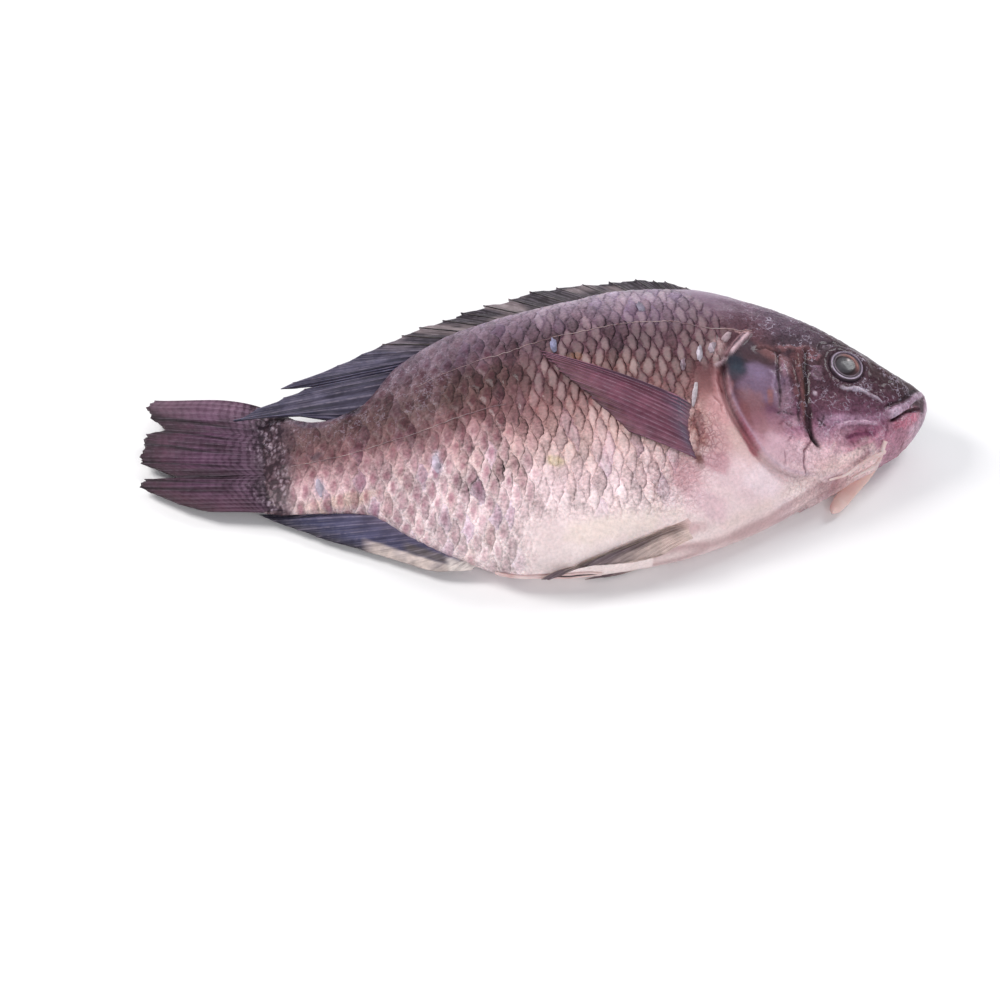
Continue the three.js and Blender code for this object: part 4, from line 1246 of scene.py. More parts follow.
# The flap of skin that hangs from the throat: its middle line, and half its width at each place.
THROAT_FLAP = [
    (132.5, -17.0, 9.0, 1.6), (128, -20.4, 6.4, 2.5), (122.8, -24.4, 4.4, 3.1), (117.8, -29.2, 3.4, 3.1),
    (114.2, -33.2, 3.0, 2.6), (112.4, -35.4, 2.8, 1.7), (111.6, -36.6, 2.7, 0.4),
]
BACK_RAYS = 28
BACK_SPINES = 15
REAR_RAYS = 14
TAIL_RAYS = 26
BREAST_RAYS = 12
FIN_SINK = 5.0


def guide_line(rows, first, straight=False):
    """A line through evenly spaced rows, from the three columns that start at first."""
    spaced = [(i / (len(rows) - 1), *row[first:first + 3]) for i, row in enumerate(rows)]
    if straight:
        table = np.array(spaced)
        return lambda t: np.stack([np.interp(t, table[:, 0], table[:, k]) for k in (1, 2, 3)], axis=-1)
    curves = [smooth_curve(spaced, k) for k in (1, 2, 3)]
    return lambda t: np.stack([curve(np.asarray(t, float)) for curve in curves], axis=-1)


def edge_line(rows, edge, height, sink):
    """The foot of a fin that stands on the back or on the belly edge."""
    foot = smooth_curve([(i / (len(rows) - 1), row[0]) for i, row in enumerate(rows)])

    def line(t):
        x = foot(np.asarray(t, float))
        return np.stack([x, edge(x) - sink, height(x)], axis=-1)

    return line


def fin_grid(root, tip, u, w, reach, bend=0.0):
    """Points of a fin: u from its first to its last ray, w from root to tip, bowed by bend."""
    foot, end = root(u)[:, None, :], tip(u)[:, None, :]
    t = (w[None, :] * reach[:, None])[..., None]
    points = foot + (end - foot) * t
    amount = bend * (1 - smoothstep(u, 0.0, 0.3))[:, None, None]
    bow = np.cross(end - foot, (0, 0, 1.0)) * amount
    return points + bow * (t * np.clip(1 - t, 0, 1) ** 1.5)


def edge_reach(u, rays, notch, ragged, seed, saw=False):
    """How far the fin's edge reaches at each place: whole on a ray, less on the membrane between."""
    k = np.asarray(u, float) * rays
    f = k - np.floor(k)
    index = np.floor(k + 1e-6)
    dip = (1 - f) ** 0.6 * (f > 0.04) if saw else np.sin(np.pi * f) ** 0.8
    own = hashed(index, np.full(np.shape(k), seed))
    nearest = np.round(k)
    length = 1 - ragged * hashed(nearest, np.full(np.shape(k), seed + 1))
    return length * (1 - notch * dip * (0.4 + 1.2 * own))


def fin_sheet(name, root, tip, rays, look, reach, thick=(1.0, 0.35), pleat=0.3, bend=0.0,
              normal=(0, 0, 1.0), per_ray=8, steps=48, settle=None):
    """A fin's membrane: a thin pleated sheet with its own thickness, a ragged edge and painted tones."""
    u = np.linspace(0, 1, rays * per_ray + 1)
    w = np.linspace(0, 1, steps + 1)
    points = fin_grid(root, tip, u, w, reach(u), bend)
    if settle is not None:
        points = settle(points, w[None, :] + 0 * u[:, None])
    k = u * rays
    ridge = np.cos(2 * np.pi * k)[:, None] * (0.35 + 0.65 * np.sin(np.pi * np.clip(w * 1.1, 0, 1)))[None, :]
    ripple = 0.5 * grain(k[:, None] * 1.7 + 0 * w, 6 * w[None, :] + 0 * u[:, None], 1.0, 77)
    out = np.asarray(normal, float)
    half = (lerp(thick[0], thick[1], w ** 0.7) / 2)[None, :, None] + np.zeros((len(u), 1, 1))
    lift = (pleat * (ridge + ripple) * (0.2 + 0.8 * smoothstep(w, 0, 0.25))[None, :])[..., None]
    top = points + out * (lift + half)
    bottom = points + out * (lift - half)
    for face in (top, bottom):
        face[..., 2] = np.maximum(face[..., 2], 0.05)
    shell, faces = closed_sheet(top, bottom)
    faces = outward(shell, faces)
    uv = np.stack(np.broadcast_arrays(k[:, None], w[None, :] * reach(u)[:, None]), axis=-1).reshape(-1, 2)
    across, along = np.broadcast_arrays(u[:, None], w[None, :])
    colour, *shares = look(across, along, points[..., 0], points[..., 1])
    tone = with_alpha(colour)
    shares = np.stack([np.broadcast_to(share, across.shape) for share in shares], axis=-1).reshape(-1, 3)
    attributes = {"tone": np.concatenate([tone, tone]), "shares": np.concatenate([shares, shares])}
    return make_piece(name, shell, faces, fin_material(), attributes, uv=np.concatenate([uv, uv]))


def ray_guides(root, tip, rays, reach, bend=0.0, lift=0.5, steps=14, start=0.0, settle=None, only=None):
    """The middle lines of a fin's rays, on the upper face of its membrane."""
    guides = []
    for k in range(rays + 1) if only is None else only:
        u = np.array([k / rays])
        w = np.linspace(start, 1.0, steps)
        line = fin_grid(root, tip, u, w, reach(u), bend)
        if settle is not None:
            line = settle(line, w[None, :])
        line = line[0].copy()
        line[:, 2] = np.maximum(line[:, 2] + lift, 0.3)
        guides.append(line)
    return guides


# ---------------------------------------------------------------- settings
class RawFishBody(bpy.types.PropertyGroup):
    """Sizes of the body's relief, in millimetres."""

    pocket_pitch: bpy.props.FloatProperty(
        name="Pocket pitch", description="Length of one scale pocket along the fish, in millimetres",
        default=5.2, min=2.0, max=12.0)
    pocket_height: bpy.props.FloatProperty(
        name="Pocket height", description="Height of one scale pocket across the fish, in millimetres",
        default=12.6, min=4.0, max=24.0)
    pocket_relief: bpy.props.FloatProperty(
        name="Pocket relief", description="How far a pocket's head edge stands up, in millimetres",
        default=0.6, min=0.0, max=1.5)
    trunk_rings: bpy.props.IntProperty(
        name="Trunk rings", description="Rings of the mesh from the tail to the gill cover", default=250, min=20)
    head_rings: bpy.props.IntProperty(
        name="Head rings", description="Rings of the mesh from the gill cover to the snout", default=174, min=20)
    upper_points: bpy.props.IntProperty(
        name="Upper points", description="Points of a ring on the upper flank", default=190, min=16)
    lower_points: bpy.props.IntProperty(
        name="Lower points", description="Points of a ring on the flank it lies on", default=40, min=8)


class RawFishLook(bpy.types.PropertyGroup):
    """Colours of the skin's markings."""

    spot_tint: bpy.props.FloatVectorProperty(
        name="Spot tint", description="Tint of the mauve spot in each scale pocket", subtype="COLOR",
        size=3, default=(0.46, 0.28, 0.35), min=0.0, max=1.0)
    spot_strength: bpy.props.FloatProperty(
        name="Spot strength", description="How strongly the spots show", default=0.9, min=0.0, max=1.0)
    # the dark line is partly a dark gap and partly painted shadow
    line_tint: bpy.props.FloatVectorProperty(
        name="Line tint", description="Tint of the dark line along each pocket's head edge", subtype="COLOR",
        size=3, default=(0.08, 0.04, 0.05), min=0.0, max=1.0)
    line_strength: bpy.props.FloatProperty(
        name="Line strength", description="How strongly the dark lines show", default=1.0, min=0.0, max=1.0)
    # painted shade on each pocket's head side
    shade_strength: bpy.props.FloatProperty(
        name="Shade strength", description="How much a pocket darkens towards its head edge", default=0.34,
        min=0.0, max=1.0)
    # the pale middle is paler skin with some painted highlight on each pocket's bulge
    pale_tint: bpy.props.FloatVectorProperty(
        name="Pale tint", description="Light laid over the middle of each pocket", subtype="COLOR",
        size=3, default=(0.42, 0.36, 0.34), min=0.0, max=1.0)
    pale_strength: bpy.props.FloatProperty(
        name="Pale strength", description="How strongly the pale middles show", default=0.6, min=0.0, max=1.0)


class RawFishStage(bpy.types.PropertyGroup):
    """The floor and the lights."""

    floor_colour: bpy.props.FloatVectorProperty(
        name="Floor colour", description="Colour of the plain floor", subtype="COLOR", size=3,
        default=(0.95, 0.945, 0.95), min=0.0, max=1.0)
    light_power: bpy.props.FloatProperty(
        name="Light power", description="Power of the strongest soft light", default=6.2,
        min=0.0, unit="POWER")
    room_light: bpy.props.FloatProperty(
        name="Room light", description="Strength of the even light from all round", default=0.34, min=0.0)


# ---------------------------------------------------------------- the skin
def ring_angles(upper, lower):
    """Angles round the body, evenly spread by length over the upper and over the lower flank."""
    fine = np.linspace(0, np.pi, 721)
    ring = skin_point(20.0, fine)
    length = np.concatenate([[0], np.cumsum(np.linalg.norm(np.diff(ring, axis=0), axis=1))])
    length /= length[-1]
    top = np.interp(np.arange(upper) / upper, length, fine)
    bottom = np.interp(np.arange(lower, 0, -1) / lower, length, fine)
    return np.concatenate([top, 2 * np.pi - bottom])


def body_skin(body, look):
    trunk = np.linspace(TAIL_ROOT_X, HEAD_STARTS_X, body.trunk_rings, endpoint=False)
    t = np.linspace(0, 1, body.head_rings)
    head = lerp(HEAD_STARTS_X, SNOUT_X, 1 - (1 - t) ** 1.12)
    places = np.concatenate([trunk, head])
    angles = ring_angles(body.upper_points, body.lower_points)
    x, angle = np.meshgrid(places, angles, indexing="ij")
    points = skin_point(x, angle)
    y = points[..., 1]
    rise = large_relief(x, y) + fine_relief(x, y, angle, body)
    rise = rise * np.abs(np.sin(angle)) ** 0.5
    points = points + skin_normal(x, angle) * rise[..., None]
    points[..., 2] = np.maximum(points[..., 2], 0)
    attributes = skin_attributes(x, y, angle, body)
    rows, columns = x.shape
    flat = points.reshape(-1, 3)
    ends = [points[0].mean(axis=0), points[-1].mean(axis=0)]
    flat = np.concatenate([flat, ends])
    for key, values in attributes.items():
        attributes[key] = np.concatenate([values, values[:1], values[-1:]])
    faces = grid_faces(rows, columns, wrap=True).tolist()
    count = rows * columns
    for k in range(columns):
        following = (k + 1) % columns
        faces.append([count, following, k])
        faces.append([count + 1, count - columns + k, count - columns + following])
    return make_piece("body_skin", flat, faces, skin_material(look), attributes)


class RAWFISH_OT_skin(bpy.types.Operator):
    """Build the bare skin of the body and the head"""

    bl_idname = "rawfish.skin"
    bl_label = "Body skin"

    def execute(self, context):
        body_skin(context.scene.rawfish_body, context.scene.rawfish_look)
        return {"FINISHED"}


# ---------------------------------------------------------------- the fin pieces
# Each look gives a fin's colour and how strongly its rays, cross bars and small scales show, by u
# from the first to the last ray, w from root to tip, and the place over the flank.
BACK_STOPS = [(0.0, (112, 98, 110)), (0.25, (92, 82, 88)), (0.65, (70, 64, 68)), (1.0, (54, 48, 54))]
REAR_STOPS = [(0.0, (120, 108, 128)), (0.35, (96, 92, 120)), (0.7, (80, 80, 110)), (0.9, (62, 60, 80)),
              (1.0, (48, 44, 56))]
TAIL_STOPS = [(0.0, (82, 64, 74)), (0.16, (86, 68, 80)), (0.3, (104, 78, 98)), (0.6, (100, 68, 92)),
              (0.85, (82, 52, 68)), (1.0, (56, 38, 46))]
BREAST_STOPS = [(0.0, (122, 76, 76)), (0.08, (116, 78, 84)), (0.16, (100, 84, 104)), (0.3, (124, 76, 94)),
                (0.7, (124, 74, 92)), (0.9, (112, 76, 80)), (1.0, (96, 66, 72))]
BELLY_STOPS = [(0.0, (222, 190, 188)), (0.1, (176, 148, 142)), (0.35, (148, 128, 122)), (0.7, (132, 112, 114)),
               (1.0, (112, 94, 100))]


def back_look(u, w, x, y):
    colour = tone_ramp(w, BACK_STOPS)
    soft = smoothstep(u, 0.46, 0.62)
    paint(colour, (74, 72, 94), 0.75 * soft)
    clear = smoothstep(grain(26 * u, 3.4 * w, 1, 81) + 0.4 * grain(70 * u, 7 * w, 1, 82), 0.0, 0.6)
    clear = clear * smoothstep(w, 0.2, 0.45)
    paint(colour, (156, 142, 144), 0.8 * clear * (1 - soft))
    paint(colour, (128, 122, 146), 0.4 * clear * soft)
    return colour, 0.9, 0.1 * soft, 0.0


def rear_look(u, w, x, y):
    colour = tone_ramp(w, REAR_STOPS)
    uneven = 0.85 + 0.25 * grain(x, y, 2.5, 83)
    paint(colour, (232, 214, 206), 0.9 * uneven * between(x, -66, -30, 3) * smoothstep(w, 0.62, 0.74))
    paint(colour, (112, 102, 94), 0.7 * between(x, -52, -36, 2) * between(w, 0.4, 0.66, 0.08))
    paint(colour, (238, 226, 220), 0.9 * smoothstep(x, -38, -35) * smoothstep(w, 0.35, 0.55))
    return colour, 0.8 - 0.4 * smoothstep(w, 0.6, 0.7) * smoothstep(x, -66, -62), 0.0, 0.0


def tail_look(u, w, x, y):
    colour = tone_ramp(w, TAIL_STOPS)
    paint(colour, (148, 118, 136), 0.45 * (1 - smoothstep(u, 0.02, 0.2)) * smoothstep(w, 0.2, 0.4))
    streaks = smoothstep(grain(11 * u, 1.6 * w, 1, 84) + 0.4 * grain(31 * u, 3 * w, 1, 85), 0.0, 0.5)
    paint(colour, (54, 36, 44), 0.75 * streaks * smoothstep(w, 0.25, 0.5))
    bent = u + 0.008 * grain(5 * w, 8 * u, 1, 89)
    gaps = sum(bump(bent - place - 0.05 * (1 - w), 0.012) for place in (0.16, 0.25, 0.38, 0.52, 0.61, 0.7, 0.78))
    paint(colour, (32, 20, 26), 0.9 * gaps * smoothstep(w, 0.25, 0.55))
    paint(colour, (84, 58, 66), 0.5 * smoothstep(u, 0.75, 0.95) * smoothstep(w, 0.2, 0.4))
    scales = 1 - smoothstep(w + 0.07 * grain(9 * u, w, 1, 86), 0.14, 0.32)
    bars = smoothstep(w, 0.1, 0.22) * lerp(0.75, 0.3, smoothstep(w, 0.28, 0.6))
    return colour, 0.1 + 0.35 * (1 - scales), bars, scales


def breast_look(u, w, x, y):
    colour = tone_ramp(w, BREAST_STOPS)
    paint(colour, (78, 64, 82), 0.6 * (1 - smoothstep(u, 0.02, 0.14)) * smoothstep(w, 0.08, 0.2))
    paint(colour, (162, 110, 128), 0.3 * smoothstep(grain(9 * u, 1.4 * w, 1, 87), 0.1, 0.6))
    return colour, 0.25 + 0.65 * smoothstep(w, 0.06, 0.2), 0.0, 0.0


def belly_look(u, w, x, y):
    colour = tone_ramp(w, BELLY_STOPS)
    lower = smoothstep(u + 0.12 * grain(6 * u, 5 * w, 1, 88), 0.38, 0.66)
    paint(colour, (152, 138, 112), 0.6 * (1 - smoothstep(u, 0.04, 0.18)) * between(w, 0.2, 0.75, 0.1))
    paint(colour, (230, 206, 198), 0.92 * lower)
    return colour, lerp(0.75, 0.3, lower) * smoothstep(w, 0.05, 0.2), 0.0, 0.0


def back_fin():
    root = edge_line(BACK_FIN, back_edge, back_height, FIN_SINK)
    tip = guide_line(BACK_FIN, 1)
    soft_from = BACK_SPINES / BACK_RAYS

    def reach(u):
        spiny = edge_reach(u, BACK_RAYS, 0.05, 0.07, 5, saw=True)
        soft = edge_reach(u, BACK_RAYS, 0.03, 0.03, 6)
        return lerp(spiny, soft, smoothstep(u, soft_from - 0.01, soft_from + 0.01))

    fin_sheet("back_fin", root, tip, BACK_RAYS, back_look, reach, thick=(1.6, 0.4), pleat=0.4, per_ray=8)
    spine_finish = plain_wet_material("Fin Spine", (32, 28, 30), (84, 78, 78), scale=150.0)
    spines = ray_guides(root, tip, BACK_RAYS, reach, lift=0.6, start=0.12, only=range(BACK_SPINES + 1))
    rods("back_fin_spines", spines, (0.7, 0.16), spine_finish)
    ray_finish = plain_wet_material("Soft Ray", (76, 74, 96), (124, 118, 142), scale=150.0)
    rays = ray_guides(root, tip, BACK_RAYS, reach, lift=0.45, start=0.2, only=range(BACK_SPINES + 1, BACK_RAYS + 1))
    rods("back_fin_rays", rays, (0.36, 0.1), ray_finish)


def rear_fin():
    root = edge_line(REAR_FIN, belly_edge, belly_height, -FIN_SINK)
    tip = guide_line(REAR_FIN, 1)
    reach = lambda u: edge_reach(u, REAR_RAYS, 0.02, 0.02, 15)
    fin_sheet("rear_fin", root, tip, REAR_RAYS, rear_look, reach, thick=(1.5, 0.35), pleat=0.35, per_ray=12)
    ray_finish = plain_wet_material("Soft Ray", (76, 74, 96), (124, 118, 142), scale=150.0)
    shorter = lambda u: 0.72 * reach(u)
    rods("rear_fin_rays", ray_guides(root, tip, REAR_RAYS, shorter, lift=0.4, start=0.2), (0.36, 0.08), ray_finish)


def tail_fin():
    root, tip = guide_line(TAIL_FIN, 0), guide_line(TAIL_FIN, 3, straight=True)
    reach = lambda u: edge_reach(u, TAIL_RAYS, 0.01, 0.016, 25)
    fin_sheet("tail_fin", root, tip, TAIL_RAYS, tail_look, reach, thick=(2.2, 0.5), pleat=0.26, bend=TAIL_BOW,
              per_ray=12, steps=72)
    ray_finish = plain_wet_material("Tail Ray", (56, 38, 48), (104, 76, 94), scale=120.0)
    rays = ray_guides(root, tip, TAIL_RAYS, reach, lift=0.26, start=0.3, bend=TAIL_BOW)
    rods("tail_fin_rays", rays, (0.24, 0.07), ray_finish)


def breast_fin(lower):
    root, tip = guide_line(BREAST_FIN, 0), guide_line(BREAST_FIN, 3)
    reach = lambda u: edge_reach(u, BREAST_RAYS, 0.03, 0.04, 35)

    def over_flank(points, w):
        x, y = points[..., 0], points[..., 1]
        angle = flank_angle(x, y)
        lift = -0.8 + 2.9 * smoothstep(w, 0.03, 0.2) - 1.2 * w
        return skin_point(x, angle) + skin_normal(x, angle) * lift[..., None]

    def under_flank(points, w):
        points = points.copy()
        points[..., 2] = 0.7
        return points

    settle = under_flank if lower else over_flank
    side = "left" if lower else "right"
    fin_sheet("breast_fin_" + side, root, tip, BREAST_RAYS, breast_look, reach, thick=(1.4, 0.5), pleat=0.3,
              per_ray=10, steps=60, settle=settle)
    ray_finish = plain_wet_material("Breast Ray", (106, 66, 84), (150, 104, 124), scale=150.0)
    rays = ray_guides(root, tip, BREAST_RAYS, reach, lift=0.4, steps=26, start=0.12, settle=settle)
    rods("breast_fin_rays_" + side, rays, (0.36, 0.12), ray_finish)


def over_keel(points, w):
    """On the flank a belly fin follows it, and past the keel it droops to its tips."""
    points = points.copy()
    x, y = points[..., 0], points[..., 1]
    keel = belly_edge(x) + 0.3
    on_flank = skin_point(x, flank_angle(x, np.maximum(y, keel)))[..., 2]
    lift = -0.6 + 1.7 * smoothstep(w, 0, 0.2)
    past = smoothstep(keel - y, 0.5, 5)
    points[..., 2] = lerp(on_flank + lift, np.minimum(points[..., 2], on_flank + lift), past)
    points[..., 1] -= 0.6 * lift * smoothstep(keel + 8 - y, 0, 8)
    return points


def belly_fins():
    ray_finish = plain_wet_material("Belly Ray", (120, 102, 98), (172, 152, 142), scale=150.0)
    for side, rows, rays, tilt, bow in (("right", BELLY_FIN_RIGHT, 10, 0.8, BELLY_BOW),
                                        ("left", BELLY_FIN_LEFT, 5, 0.2, 0.0)):
        root, tip = guide_line(rows, 0), guide_line(rows, 3)
        # The right fin runs out in a slim tip along its first rays.
        short = 0.24 if side == "right" else 0.0
        reach = lambda u, rays=rays, short=short: edge_reach(u, rays, 0.01, 0.015, 45) * (
            1 - short * smoothstep(u, 0.06, 0.4))
        settle = over_keel if side == "right" else None
        normal = (0, -math.sin(tilt), math.cos(tilt))
        fin_sheet("belly_fin_" + side, root, tip, rays, belly_look, reach, thick=(1.3, 0.35), pleat=0.22,
                  bend=bow, per_ray=10, steps=48, normal=normal, settle=settle)
        guides = ray_guides(root, tip, rays, reach, bend=bow, lift=0.3, steps=22, start=0.16, settle=settle,
                            only=range(rays // 2 + 1))
        rods("belly_fin_rays_" + side, guides, (0.26, 0.1), ray_finish)


def throat_flap():
    finish = plain_wet_material("Throat Flap", (240, 212, 206), (232, 198, 190), scale=120.0, subsurface=0.12)
    along = np.linspace(0, 1, 48)
    rows = np.array([(i / (len(THROAT_FLAP) - 1), *row) for i, row in enumerate(THROAT_FLAP)])
    middle = np.stack([smooth_curve(rows, k)(along) for k in (1, 2, 3)], axis=-1)
    half = smooth_curve(rows, 4)(along)
    way = np.gradient(middle, axis=0)
    side = np.cross(way, (0, 0, 1.0))
    side /= np.linalg.norm(side, axis=1, keepdims=True)
    across = np.linspace(-1, 1, 17)
    points = middle[:, None, :] + side[:, None, :] * (half[:, None] * across[None, :])[..., None]
    cup = 0.5 * (1 - across ** 2)[None, :] + 0.15 * grain(points[..., 0], points[..., 1], 2.0, 61)
    thick = 0.45 * np.sqrt(np.clip(1.02 - across ** 2, 0.05, 1))[None, :] + np.zeros_like(cup)
    top, bottom = points.copy(), points.copy()
    top[..., 2] += cup + thick
    bottom[..., 2] += cup - thick
    shell, faces = closed_sheet(top, bottom)
    make_piece("throat_flap", shell, outward(shell, faces), finish)


class RAWFISH_OT_fins(bpy.types.Operator):
    """Build the back, rear, tail, breast and belly fins with their rays, and the throat flap"""

    bl_idname = "rawfish.fins"
    bl_label = "Fins"

    def execute(self, context):
        back_fin()
        rear_fin()
        tail_fin()
        breast_fin(lower=False)
        breast_fin(lower=True)
        belly_fins()
        throat_flap()
        return {"FINISHED"}


# ---------------------------------------------------------------- the eyes
# The eye's height over its socket, from the middle of the lens to the back of the ring.
EYE_PROFILE = [(0.0, 1.7), (2.7, 1.5), (4.3, 1.05), (5.0, 0.7), (5.4, 0.45), (5.8, 0.7), (6.2, 0.8), (6.5, 0.6),
               (6.9, -0.1), (7.2, -2.5)]
EYE_ROWS = 44
EYE_SIDES = 96
PUPIL_OFFSET = (-1.3, -0.5)
PUPIL_RADIUS = 3.7


def eye_tone(x, y):
    """The eye's colours over its own plane: cloudy pupil with a painted highlight, reddish crescent with a painted
    highlight along it, dark rim, painted shade in the groove inside the ring and round the eye's edge, and a silvery
    ring lighter towards the lower left as painted light.
    """
    from_middle = np.hypot(x, y)
    from_pupil = np.hypot(x - PUPIL_OFFSET[0], y - PUPIL_OFFSET[1])
    turn = np.arctan2(y, x)
    towards = np.cos(turn - 0.7)
    # painted light, strongest towards the lower left
    painted_lit_side = 0.55 + 0.45 * np.cos(turn + 2.3)
    uneven = 0.8 + 0.4 * clouded(x, y, 2.0, 71)
    colour = np.zeros(np.shape(x) + (3,)) + linear((62, 44, 48))
    paint(colour, (118, 76, 74), smoothstep(towards, -0.1, 0.8) * between(from_pupil, 3.9, 6.2, 0.5))
    # painted highlight along the reddish crescent
    paint(colour, (176, 132, 124), 0.8 * bump(from_pupil - 5.4, 0.35) * smoothstep(towards, 0.3, 0.9) * uneven)
    paint(colour, (34, 26, 30), 0.9 * bump(from_pupil - PUPIL_RADIUS - 0.2, 0.5))
    inside = 1 - smoothstep(from_pupil, PUPIL_RADIUS - 0.5, PUPIL_RADIUS)
    paint(colour, (62, 58, 63), inside)
    paint(colour, (100, 96, 100), 0.65 * inside * bump(np.hypot(x + 2.4, y - 0.4), 1.8) * uneven)
    # painted highlight on the pupil
    paint(colour, (214, 196, 196), 0.8 * bump(np.hypot(x - 0.4, y - 1.9), 0.55) * uneven)
    # painted light: the thin ring is lighter towards the lower left
    paint(colour, (190, 172, 188), 0.7 * bump(from_middle - 5.0, 0.16) * painted_lit_side * uneven)
    # painted shade in the groove between the thin ring and the silvery ring
    paint(colour, (52, 44, 56), 0.8 * bump(from_middle - 5.4, 0.25))
    ring = between(from_middle, 5.75, 6.35, 0.15)
    paint(colour, (104, 88, 108), ring)
    # painted light: the silvery ring is lighter towards the lower left
    paint(colour, (184, 168, 188), ring * painted_lit_side * uneven)
    # painted shade where the eye sinks into its socket
    paint(colour, (60, 46, 56), smoothstep(from_middle, 6.4, 6.7))
    return colour


def eye_material():
    """A cloudy wet eye in its own tones."""
    name = "Wet Eye"
    if name in bpy.data.materials:
        return bpy.data.materials[name]
    material, w, shader = new_material(name)
    place = w.node("ShaderNodeTexCoord").outputs["Object"]
    wet = w.group(wet_group(), Vector=place, Cloud_Scale=420.0)
    light = w.span(wet["Cloud"], 0.0, 1.0, 0.8, 1.2, "LINEAR")
    w.feed(shader.inputs["Base Color"], w.vector("SCALE", w.attribute("tone").outputs["Color"], None, None, light))
    w.feed(shader.inputs["Roughness"], w.span(wet["Gloss"], 0.0, 1.0, 0.3, 0.45, "LINEAR"))
    shader.inputs["Specular IOR Level"].default_value = 0.2
    shader.inputs["Coat Weight"].default_value = 0.2
    shader.inputs["Coat Roughness"].default_value = 0.06
    return material


def eye(side):
    """An eyeball with its pupil, iris and silvery ring, sunk in its socket."""
    if side == "right":
        angle = flank_angle(np.array([EYE_X]), np.array([EYE_Y]))
        seat = skin_point(np.array([EYE_X]), angle)[0]
        normal = skin_normal(np.array([EYE_X]), angle)[0]
        deep = 0.0
    else:
        seat = np.array([EYE_X, EYE_Y, 0.0])
        normal = np.array([0.0, 0.0, -1.0])
        deep = -2.2
    along = np.cross((0, 1.0, 0), normal)
    along /= np.linalg.norm(along)
    across = np.cross(normal, along)
    radius = EYE_PROFILE[-1][0] * np.linspace(0, 1, EYE_ROWS + 1)[1:]
    height = smooth_curve(EYE_PROFILE)(radius) + deep
    turn = np.arange(EYE_SIDES) / EYE_SIDES * 2 * np.pi
    x = radius[:, None] * np.cos(turn)
    y = radius[:, None] * np.sin(turn)
    points = seat + x[..., None] * along + y[..., None] * across + height[:, None, None] * normal
    top = seat + (EYE_PROFILE[0][1] + deep) * normal
    points = np.concatenate([points.reshape(-1, 3), top[None, :]])
    faces = grid_faces(EYE_ROWS, EYE_SIDES, wrap=True, flip=True).tolist()
    last = len(points) - 1
    faces += [[last, k, (k + 1) % EYE_SIDES] for k in range(EYE_SIDES)]
    faces.append([last - 1 - k for k in range(EYE_SIDES)])
    tone = np.concatenate([eye_tone(x, y).reshape(-1, 3), eye_tone(np.zeros(1), np.zeros(1))])
    make_piece("eye_" + side, points, faces, eye_material(), {"tone": with_alpha(tone)})


class RAWFISH_OT_eyes(bpy.types.Operator):
    """Build the two eyes"""

    bl_idname = "rawfish.eyes"
    bl_label = "Eyes"

    def execute(self, context):
        eye("right")
        eye("left")
        return {"FINISHED"}


# ---------------------------------------------------------------- the small details
# Loose scales and torn flaps of skin: middle, length and height of each, turn and tone.
FLAKES = [
    (10, 22.5, 2.8, 7.2, 4, (156, 154, 186)), (64.5, 13, 2.4, 7.6, -12, (196, 182, 196)),
    (69.5, 14.5, 2.6, 5.2, -28, (182, 162, 174)), (60.5, -4, 2.0, 10.0, -14, (212, 196, 204)),
    (57.5, 8, 2.2, 6.0, -8, (152, 126, 140)), (45.5, 38, 3.0, 6.4, 6, (150, 140, 160)),
    (-38, -17.5, 2.8, 7.2, 8, (210, 194, 212)), (-82.5, -15, 2.6, 6.2, 12, (200, 186, 204)),
    (76, 19.5, 2.4, 5.4, -46, (186, 160, 168)),
]
FLAKE_SIDES = 28
FLAKE_RINGS = 6
# The cut along the belly: from and to, and how high its middle lies.
CUT_FROM_X = -19.0
CUT_TO_X = 20.0
CUT_HEIGHT = 6.8
THROAT_STRIPS = [
    [(132.4, -20.0), (127, -22.6), (121, -25.6), (115, -28.6), (109, -31.0)],
    [(130, -22.0), (125.4, -24.8), (119, -28.2)],
    [(132.8, -18.2), (130.6, -21.4), (127.2, -25.0), (125.6, -27.0)],
]


def along_flank(path, step, body, lift):
    """A fine line over the upper flank through the points of a path."""
    path = np.array(path, float)
    length = np.concatenate([[0], np.cumsum(np.hypot(*np.diff(path, axis=0).T))])
    at = np.linspace(0, length[-1], max(int(length[-1] / step), 2) + 1)
    return flank_point(np.interp(at, length, path[:, 0]), np.interp(at, length, path[:, 1]), body, lift)


def lateral_line(body):
    finish = plain_wet_material("Lateral Line", (196, 172, 172), (124, 98, 104), scale=90.0)
    guides = [along_flank(path, 1.2, body, 0.12) for path in (UPPER_LINE, LOWER_LINE)]
    rods("lateral_line", guides, (0.16, 0.12), finish, sides=6)


